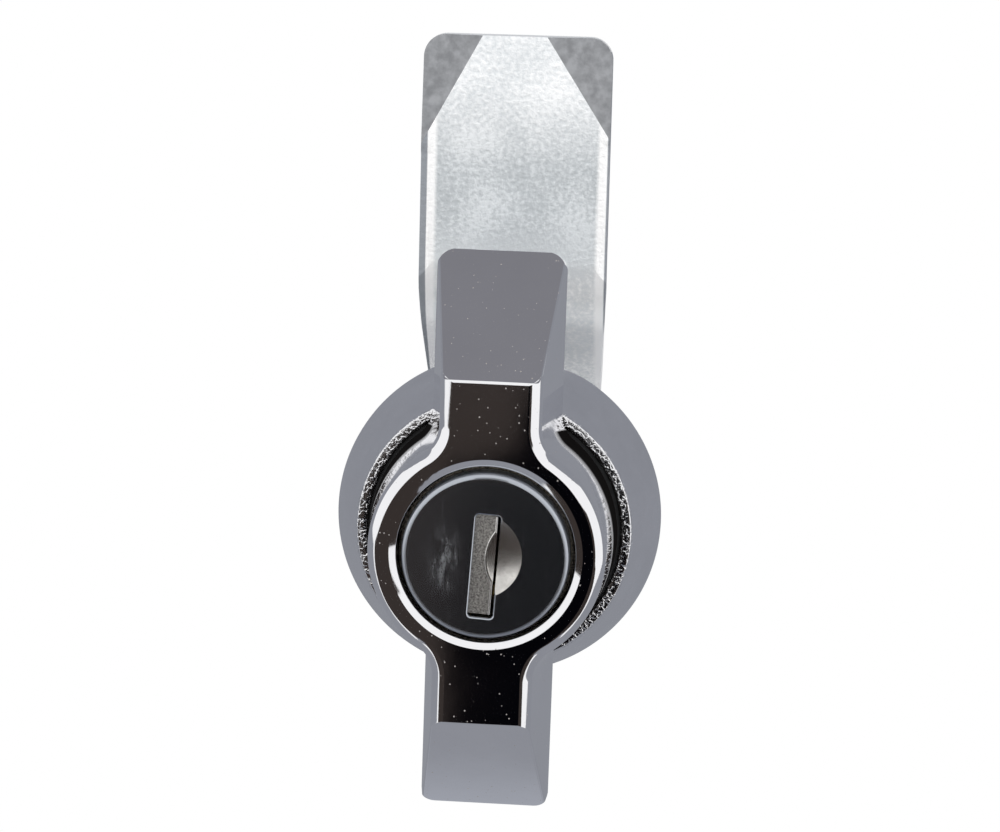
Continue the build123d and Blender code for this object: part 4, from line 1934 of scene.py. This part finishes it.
@dataclass
class CamFixings:
    """Screw and washers that hold the cam on the handle's square. Millimetres."""

    screw: Place
    flat: Place
    spring: Place
    washer_bore: float = 3.2
    washer_round: float = 0.2
    split_half: float = 0.7
    split_turn: float = 30.0
    split_height: float = 4.0
    split_reach: float = 3.0
    head_height: float = 4.0
    head_inset: float = 0.25
    head_chamfer: float = 0.7
    head_slack: float = 0.1
    collar_inset: float = 0.2
    collar_height: float = 0.3
    thread: float = 2.7
    thread_tip: float = 2.1
    tip_length: float = 0.6
    edge_round: float = 0.12

    @staticmethod
    def from_frame() -> "CamFixings":
        """Take the places from the frame."""
        return CamFixings(
            screw=Place.of("cam_screw"),
            flat=Place.of("flat_washer"),
            spring=Place.of("spring_washer"),
        )

    def build_flat_washer(self) -> Piece:
        """Plain washer with rolled edges."""
        washer = ring("washer", self.flat, self.washer_bore, SMALL_ROUND_STEPS)
        return soften(washer, self.washer_round, 3)

    def build_spring_washer(self) -> Piece:
        """Square-section ring with a slanting split.

        Returns:
            The washer.
        """
        washer = ring("lock_spring", self.spring, self.washer_bore, SMALL_ROUND_STEPS)
        split = block(
            "split",
            (-self.split_half, -self.spring.radius - self.split_reach, -self.split_height),
            (self.split_half, -CLEAR, self.split_height),
        )
        swung(split, y=self.split_turn)
        cut(washer, moved(split, 0, 0, (self.spring.bottom + self.spring.top) / 2))
        return soften(washer, self.edge_round, 2)

    def build_screw(self) -> Piece:
        """Hexagon screw with a chamfered head and a washer face.

        Returns:
            The screw.
        """
        low, high = self.screw.bottom, self.screw.top
        corner = self.screw.radius
        flats = corner * math.sqrt(3)
        seat = low + self.head_height
        rim = corner + self.head_slack
        collar = flats / 2 - self.collar_inset
        head = prism("hex_screw", hexagon(corner), low, seat - self.collar_height)
        crown = turned(
            "crown",
            [
                (0, low),
                (flats / 2 - self.head_inset, low),
                (rim, low + self.head_chamfer),
                (rim, seat),
                (0, seat),
            ],
            SMALL_ROUND_STEPS,
        )
        combine(head, crown, "INTERSECT")
        shank = turned(
            "shank",
            [
                (0, seat - CLEAR),
                (collar, seat - CLEAR),
                (collar, seat),
                (self.thread, seat),
                (self.thread, high - self.tip_length),
                (self.thread_tip, high),
                (0, high),
            ],
            SMALL_ROUND_STEPS,
        )
        combine(head, shank, "UNION")
        return soften(head, self.edge_round, 2)

    def dress(self, finishes: Finishes) -> None:
        """Build screw and washers and give them their plating."""
        for piece, node in (
            (self.build_flat_washer(), "flat_washer"),
            (self.build_spring_washer(), "spring_washer"),
            (self.build_screw(), "cam_screw"),
        ):
            fit(piece, Body.HANDLE, Slot.ZINC_PLATE, finishes.zinc, node)


@dataclass
class LockFront:
    """What shows of the lock cylinder: the plug's cap and the shutter in its slot. Millimetres."""

    cap: Place
    lean: float = -3.0
    radius: float = 8.4
    thickness: float = 0.5
    inner_radius: float = 7.9
    rim_start: float = 7.8
    rim_curve: float = 0.7
    rim_tilt: float = 30.0
    rim_end: float = 8.25
    lip_round: float = 0.2
    slot_half_width: float = 1.25
    slot_half_length: float = 5.2
    slot_drop: float = 1.0
    slot_corner: float = 0.35
    dish_radius: float = 4.3
    dish_sagitta: float = 2.4
    dish_depth: float = 0.6
    dish_overlap: float = 0.2
    flap_front: float = 20.0
    flap_thickness: float = 0.6
    flap_gap: float = 0.1
    flap_side_gap: float = 0.28
    flap_foot_gap: float = 0.25
    knuckle: float = 0.65
    spring_room: float = 1.1
    tongue_lap: float = 0.1
    ledge_rise: float = 0.35
    ledge_width: float = 0.25
    ledge_bulge: float = 0.8
    ledge_edge: float = 0.24
    bulge_radius: float = 4.6

    @staticmethod
    def from_frame() -> "LockFront":
        """Take the cap's place from the frame."""
        return LockFront(cap=Place.of("plug_cap"))

    def dish(self, left: float) -> Piece:
        """Shallow round hollow beside the slot, as a tool: the foot of a large ball.

        Args:
            left: Where the hollow ends on the left.

        Returns:
            The tool.
        """
        ball = (self.dish_radius**2 + self.dish_depth**2) / (2 * self.dish_depth)
        height = self.cap.top + ball - self.dish_depth
        widest = math.asin((self.dish_radius + 0.8 * CLEAR) / ball)
        steps = 24
        angles = [widest * n / steps for n in range(steps + 1)]
        profile = [(ball * math.sin(a), height - ball * math.cos(a)) for a in angles]
        tool = turned("dish", profile + [(0, profile[-1][1])], SMALL_ROUND_STEPS)
        moved(tool, self.slot_half_width + self.dish_sagitta - self.dish_radius, 0, 0)
        past = self.radius + CLEAR
        side = block("side", (left, -past, self.cap.bottom), (past, past, self.cap.top + 2 * CLEAR))
        return combine(tool, side, "INTERSECT")

    def build_cap(self) -> Piece:
        """Pressed cap with its rolled rim, key slot and dish.

        Returns:
            The cap.
        """
        top = self.cap.top
        rim = arc((self.rim_start, top - self.rim_curve), self.rim_curve, 90 - self.rim_tilt, 90, 6)
        slope = math.tan(math.radians(self.rim_tilt))
        low = rim[0][1] - (self.rim_end - rim[0][0]) * slope
        cap = turned(
            "lock_cap",
            [
                (0, top - 2 * self.thickness),
                (self.inner_radius, top - 2 * self.thickness),
                (self.inner_radius, self.cap.bottom),
                (self.radius, self.cap.bottom),
                (self.radius, low - 3 * (self.radius - self.rim_end)),
                (self.rim_end, low),
                *rim,
                (0, top),
            ],
            ROUND_STEPS,
        )
        half, length = self.slot_half_width, self.slot_half_length
        slot = block(
            "slot",
            (-half, -length - self.slot_drop, self.cap.bottom - CLEAR),
            (half, length - self.slot_drop, top + CLEAR),
        )

        def upright(edge: Edge) -> bool:
            """Say whether an edge is one of the slot's corners."""
            return (edge.verts[0].co.xy - edge.verts[1].co.xy).length < TOUCH

        round_edges(slot, self.slot_corner, 4, upright)
        cut(cap, slot)

        def at_slot(edge: Edge) -> bool:
            """Say whether an edge is part of the slot's lip, by its height and its place across."""
            return all(abs(v.co.z - top) < TOUCH and abs(v.co.x) < 2 for v in edge.verts)

        round_edges(cap, self.lip_round, 10, at_slot)
        cut(cap, self.dish(half - self.dish_overlap))
        return swung(cap, z=self.lean)

    def bulge(self, inset: float) -> list[Point]:
        """Free side of the rib's swelling, about the middle of the slot.

        Args:
            inset: How far inside the rib's outline it runs.

        Returns:
            Its points from top to bottom.
        """
        left = self.slot_half_width - self.flap_side_gap - self.ledge_width
        centre = left - self.ledge_bulge + self.bulge_radius
        half = math.degrees(math.acos((centre - left) / self.bulge_radius))
        return arc((centre, 0), self.bulge_radius - inset, 180 - half, 180 + half, 32)

    def ledge(self) -> Piece:
        """Raised rib along the flap's free edge, swelling beside the hollow.

        Returns:
            The rib.
        """
        right = self.slot_half_width - self.flap_side_gap
        left = right - self.ledge_width
        end = self.slot_half_length - self.flap_gap
        foot = self.flap_foot_gap - self.slot_half_length
        outline = [(right, end), (left, end)]
        outline += [(x, y + self.slot_drop) for x, y in self.bulge(0.0)]
        outline += [(left, foot), (right, foot)]
        low = self.flap_front - self.flap_thickness / 2
        rib = prism("ledge", outline, low, self.flap_front + self.ledge_rise)
        return soften(rib, self.ledge_edge, 10)

    def flap_dish(self) -> Piece:
        """The hollow's share of the flap, which leaves the edge of the rib standing, as a tool.

        Returns:
            The tool.
        """
        right = self.slot_half_width + CLEAR
        inner = self.bulge(self.ledge_edge)
        outline = [(right, inner[0][1]), *inner, (right, inner[-1][1])]
        inside = prism("inside", outline, self.cap.bottom, self.cap.top + CLEAR)
        return combine(inside, self.dish(-self.slot_half_width), "INTERSECT")

    def build_shutter(self) -> Piece:
        """Flap with its knuckle, its grainy floor and the smooth rib with the hollow.

        Returns:
            The flap.
        """
        right = self.slot_half_width - self.flap_side_gap
        end = self.slot_half_length - self.flap_gap
        foot = self.flap_foot_gap - self.slot_half_length
        hinge = -self.slot_half_width - self.knuckle
        back = self.flap_front - self.flap_thickness
        top = end - self.spring_room
        flap = block("shutter_flap", (hinge, foot, back), (right, top, self.flap_front))
        near = (-self.slot_half_width, top - self.tongue_lap, back)
        combine(flap, block("tongue", near, (right, end, self.flap_front)), "UNION")
        combine(flap, self.ledge(), "UNION")
        pin = turned(
            "knuckle",
            [(0, foot), (self.knuckle, foot), (self.knuckle, top), (0, top)],
            SMALL_ROUND_STEPS,
        )
        swung(pin, x=-90.0)
        moved(pin, hinge, 0, self.flap_front - self.knuckle)
        combine(flap, pin, "UNION")
        moved(flap, 0, -self.slot_drop, 0)
        cut(flap, self.flap_dish())
        return swung(flap, z=self.lean)

    def in_dish(self, face: Face) -> bool:
        """Say whether a face of the finished cap belongs to the hollow.

        Args:
            face: The face, in the frame.

        Returns:
            Whether it does.
        """
        x, y, z = face.center / MILLIMETRE
        right = x > self.slot_half_width - self.dish_overlap - 0.05
        near = math.hypot(x, z) < self.dish_radius + 0.5
        shallow = y + self.cap.top < self.dish_depth + 0.02
        return right and near and shallow and 0.01 < face.normal.xz.length < 0.4

    def on_ledge(self, face: Face) -> bool:
        """Say whether a face of the finished flap belongs to the rib.

        Args:
            face: The face, in the frame.

        Returns:
            Whether it does.
        """
        return face.center.y / MILLIMETRE < -self.flap_front - 0.02

    def on_ledge_round(self, face: Face) -> bool:
        """Say whether a face of the finished flap belongs to the rounded edge of the rib.

        Args:
            face: The face, in the frame.

        Returns:
            Whether it does.
        """
        return self.on_ledge(face) and face.normal.xz.length > 0.35

    def dress(self, finishes: Finishes) -> None:
        """Build cap and flap, with the hollow and the rib smooth and a painted highlight on the
        rib's edge.

        Args:
            finishes: The latch's finishes.
        """
        cap = fit(
            self.build_cap(),
            Body.PLUG,
            Slot.STAINLESS,
            finishes.stainless,
            "plug_cap",
            crease=LOCK_CREASE,
        )
        dress_faces(cap, finishes.satin, self.in_dish)
        flap = fit(
            self.build_shutter(),
            Body.SHUTTER,
            Slot.DIE_CAST,
            finishes.die_cast,
            "slot_shutter",
            crease=LOCK_CREASE,
        )
        dress_faces(flap, finishes.satin, self.on_ledge)
        # Painted highlight: near-white metal on the rib's rounded edge.
        dress_faces(flap, finishes.rubbed, self.on_ledge_round)


def paint_inner_parts(finishes: Finishes) -> None:
    """Give the CAD nodes that stay in view their finishes."""
    for finish, nodes in {
        finishes.rubber: ("panel_gasket", "handle_seal", "shaft_ring"),
        finishes.nylon: ("thrust_washer",),
        finishes.zinc: ("stop_washer", "locking_bolt", "bolt_driver"),
        # The plug and barrel take the painted-shade copy of the die-cast finish.
        finishes.painted_shade_cast: ("cylinder_barrel", "plug"),
        finishes.brass: ("wafers_up", "wafers_down"),
        finishes.spring_steel: (
            "cylinder_pin",
            "plug_clip",
            "shutter_pin",
            "shutter_spring",
            "wafer_springs",
            "follower_pin",
        ),
    }.items():
        for node in nodes:
            paint(node, finish)


# ---------------------------------------------------------------- studio


class Seen(Enum):
    """Which rays see a card."""

    REFLECTIONS = "reflections"
    ALL = "all"


@dataclass(frozen=True)
class Lamp:
    """A soft lamp that looks at the latch, with its power in watts and its width in metres."""

    name: str
    spot: tuple[float, float, float]
    power: float
    size: float

    def hang(self) -> None:
        """Set up the lamp, unseen by mirrors."""
        light = bpy.data.lights.new(self.name, "AREA")
        light.energy = self.power
        light.size = self.size
        lamp = bpy.data.objects.new(self.name, light)
        bpy.context.scene.collection.objects.link(lamp)
        lamp.location = self.spot
        lamp.rotation_euler = (-Vector(self.spot)).to_track_quat("-Z", "Y").to_euler()
        lamp.visible_glossy = False


@dataclass
class Studio:
    """Pale floor, white surround, grey tent, dark cards, soft lamps and the camera. Metres.

    The cards stand in front of the latch, where the flat faces and the lower rims look.
    """

    eye: Vector = Vector((0.0202, -0.3186, 0.0691))
    aim: Vector = Vector((0.00097, -0.020, 0.01411))
    roll: float = 1.98
    lens: float = 111.5
    floor_drop: float = 0.25
    tent_radius: float = 0.21
    tent_opening: float = 58.0
    floor_opening: float = 39.0
    floor_spread: float = 0.6
    side_opening: float = 95.0
    left_fade: Point = (-0.035, -0.005)
    right_fade: Point = (-0.085, -0.050)
    top_fade: Point = (0.11, 0.13)
    pale_back: Point = (0.020, 0.031)
    pale_low: Point = (-0.200, -0.185)
    grey: Colour = (0.272, 0.282, 0.313)
    high_grey: Colour = (0.222, 0.222, 0.243)
    low_grey: Colour = (0.284, 0.293, 0.325)
    pale: Colour = (0.41, 0.43, 0.48)
    brown: Colour = (0.041, 0.033, 0.030)
    black: Colour = (0.0012, 0.0012, 0.0022)
    ambient: float = 0.75
    brown_card: tuple[Point, ...] = (
        (0.05, -0.0035),
        (-0.0625, -0.0035),
        (-0.11, -0.020),
        (-0.16, -0.038),
        (-0.33, -0.070),
        (-0.33, -0.48),
        (0.30, -0.48),
        (0.26, -0.17),
        (0.20, -0.095),
        (0.15, -0.08),
        (0.15, 0.012),
        (0.06, -0.012),
    )
    black_card: tuple[Point, ...] = (
        (-0.0262, -0.20),
        (0.06, -0.20),
        (0.06, -0.030),
        (0.048, -0.005),
        (0.010, -0.006),
        (-0.011, -0.032),
        (-0.014, -0.044),
        (-0.0262, -0.047),
    )
    brown_card_at: float = 0.300
    black_card_at: float = 0.299
    lamps: tuple[Lamp, ...] = (
        Lamp("key_lamp", (-0.45, -0.55, 0.65), 6.0, 0.6),
        Lamp("fill_lamp", (0.6, -0.35, 0.3), 2.5, 0.7),
    )

    def glow(self, name: str, colour: Colour) -> Material:
        """A shadeless colour for a card.

        Args:
            name: Name of the material.
            colour: Its colour.

        Returns:
            The material.
        """
        recipe = Recipe(name, "ShaderNodeEmission")
        recipe.shader.inputs["Color"].default_value = (*colour, 1.0)
        return recipe.material

    def tent_glow(self) -> Material:
        """The tent's grey: darker overhead, paler low down behind the latch.

        Returns:
            The material.
        """
        recipe = Recipe("tent_grey", "ShaderNodeEmission")
        height = recipe.along("Z", (-self.tent_radius, 0.0), (self.tent_radius, 1.0))
        stops = [(0.0, self.low_grey), (0.2, self.grey), (0.91, self.grey), (0.97, self.high_grey)]
        tones = recipe.ramp(height, "Result", stops)
        pale = recipe.plain(height, "Result", self.pale)
        back = recipe.along("Y", (self.pale_back[0], 0.0), (self.pale_back[1], 1.0))
        low = recipe.along("Z", (self.pale_low[0], 1.0), (self.pale_low[1], 0.0))
        both = recipe.maths(back, "Result", low, "Result", "MULTIPLY")
        colour = recipe.blend(both, "Value", tones, pale)
        recipe.join(colour, "Color", recipe.shader, "Color")
        return recipe.material

    def set_card(self, card: Piece, finish: Material, seen: Seen) -> None:
        """Dress a stage piece and say which rays see it.

        Args:
            card: The stage piece.
            finish: Its material.
            seen: Which rays see it.
        """
        card.data.materials.append(finish)
        if seen is Seen.REFLECTIONS:
            card.visible_camera = False
            card.visible_diffuse = False
            card.visible_shadow = False
            card.visible_transmission = False

    def world(self) -> None:
        """White for the camera and for reflections, softer as a lamp."""
        world = bpy.data.worlds.new("surround")
        bpy.context.scene.world = world
        world.use_nodes = True
        tree = world.node_tree
        tree.nodes.clear()
        output = tree.nodes.new("ShaderNodeOutputWorld")
        mix = tree.nodes.new("ShaderNodeMixShader")
        tree.links.new(self.seen_directly(tree), mix.inputs[0])
        for place, strength in ((1, self.ambient), (2, 1.0)):
            white = tree.nodes.new("ShaderNodeBackground")
            white.inputs["Color"].default_value = (1.0, 1.0, 1.0, 1.0)
            white.inputs["Strength"].default_value = strength
            tree.links.new(white.outputs[0], mix.inputs[place])
        tree.links.new(mix.outputs[0], output.inputs["Surface"])

    def seen_directly(self, tree: bpy.types.NodeTree) -> bpy.types.NodeSocket:
        """A socket that is 1 for camera, glossy and transmission rays.

        Args:
            tree: The node tree that needs it.

        Returns:
            The output socket.
        """
        path = tree.nodes.new("ShaderNodeLightPath")
        seen = path.outputs["Is Camera Ray"]
        for kind in ("Is Glossy Ray", "Is Transmission Ray"):
            either = tree.nodes.new("ShaderNodeMath")
            either.operation = "MAXIMUM"
            tree.links.new(seen, either.inputs[0])
            tree.links.new(path.outputs[kind], either.inputs[1])
            seen = either.outputs[0]
        return seen

    def floor(self) -> None:
        """Plain pale floor below the latch."""
        deselect()
        height = CAD_BOX[0].z - self.floor_drop
        bpy.ops.mesh.primitive_plane_add(size=30.0, location=(0.0, 0.0, height))
        floor = named("floor")
        bpy.ops.object.transform_apply()
        material = bpy.data.materials.new("pale_floor")
        material.use_nodes = True
        tree = material.node_tree
        shader = tree.nodes["Principled BSDF"]
        shader.inputs["Base Color"].default_value = (0.9, 0.9, 0.9, 1.0)
        shader.inputs["Roughness"].default_value = 0.9
        white = tree.nodes.new("ShaderNodeEmission")
        mix = tree.nodes.new("ShaderNodeMixShader")
        tree.links.new(self.seen_directly(tree), mix.inputs[0])
        tree.links.new(shader.outputs[0], mix.inputs[1])
        tree.links.new(white.outputs[0], mix.inputs[2])
        tree.links.new(mix.outputs[0], tree.nodes["Material Output"].inputs["Surface"])
        self.set_card(floor, material, Seen.ALL)

    def is_open(self, spot: Vector) -> bool:
        """Say whether the tent is open at a spot: in front, less below and further at the sides.

        Args:
            spot: The spot on the tent.

        Returns:
            Whether it is open.
        """
        away = math.degrees(math.acos(-spot.y / spot.length))
        low, full = self.left_fade if spot.x < 0 else self.right_fade
        upper, high = self.top_fade
        shares = ((spot.z - low) / (full - low), (high - spot.z) / (high - upper), 1.0)
        share = max(0.0, min(shares))
        limit = self.tent_opening + (self.side_opening - self.tent_opening) * share
        below = spot.z < 0 and abs(spot.x) < self.floor_spread * abs(spot.z)
        return away < (self.floor_opening if below else limit)

    def tent(self) -> None:
        """Grey tent round the latch, open towards the front."""
        deselect()
        bpy.ops.mesh.primitive_uv_sphere_add(segments=288, ring_count=144, radius=self.tent_radius)
        tent = named("grey_tent")
        select_parts(tent, "faces", lambda face: self.is_open(face.calc_center_median()))
        bpy.ops.mesh.delete(type="FACE")
        bpy.ops.object.mode_set(mode="OBJECT")
        self.set_card(tent, self.tent_glow(), Seen.REFLECTIONS)

    def card(self, name: str, depth: float, corners: Sequence[Point], colour: Colour) -> None:
        """Stand a flat card in front of the latch.

        Args:
            name: Its name.
            depth: Its distance in front of the panel.
            corners: Its corners across and up.
            colour: Its shadeless colour.
        """
        deselect()
        bpy.ops.mesh.primitive_circle_add(vertices=len(corners), radius=1.0, fill_type="NGON")
        card = named(name)
        for vertex, (x, z) in zip(card.data.vertices, corners):
            vertex.co = (x, -depth, z)
        self.set_card(card, self.glow(name, colour), Seen.REFLECTIONS)

    def camera(self) -> None:
        """Camera a little above and to the right of the lock's axis."""
        data = bpy.data.cameras.new("camera")
        data.lens = self.lens
        data.sensor_width = 36.0
        data.clip_start = 0.01
        data.clip_end = 100.0
        camera = bpy.data.objects.new("camera", data)
        bpy.context.scene.collection.objects.link(camera)
        look = (self.aim - self.eye).to_track_quat("-Z", "Y").to_matrix().to_4x4()
        turn = Matrix.Rotation(math.radians(self.roll), 4, "Z")
        camera.matrix_world = Matrix.Translation(self.eye) @ look @ turn
        bpy.context.scene.camera = camera

    def build(self) -> None:
        """Set the whole stage."""
        bpy.context.scene.view_settings.view_transform = "Standard"
        self.world()
        self.floor()
        self.tent()
        self.card("brown_card", self.brown_card_at, self.brown_card, self.brown)
        self.card("black_card", self.black_card_at, self.black_card, self.black)
        for lamp in self.lamps:
            lamp.hang()
        self.camera()


def main() -> None:
    """Build the studio and every piece of the latch."""
    logging.basicConfig(level=logging.INFO, format="%(name)s: %(message)s")
    Studio().build()
    finishes = Finishes.make()
    for assembly in (BaseAssembly, MountingHardware, Handle, Cam, CamFixings, LockFront):
        assembly.from_frame().dress(finishes)
    paint_inner_parts(finishes)


if __name__ == "__main__":
    main()
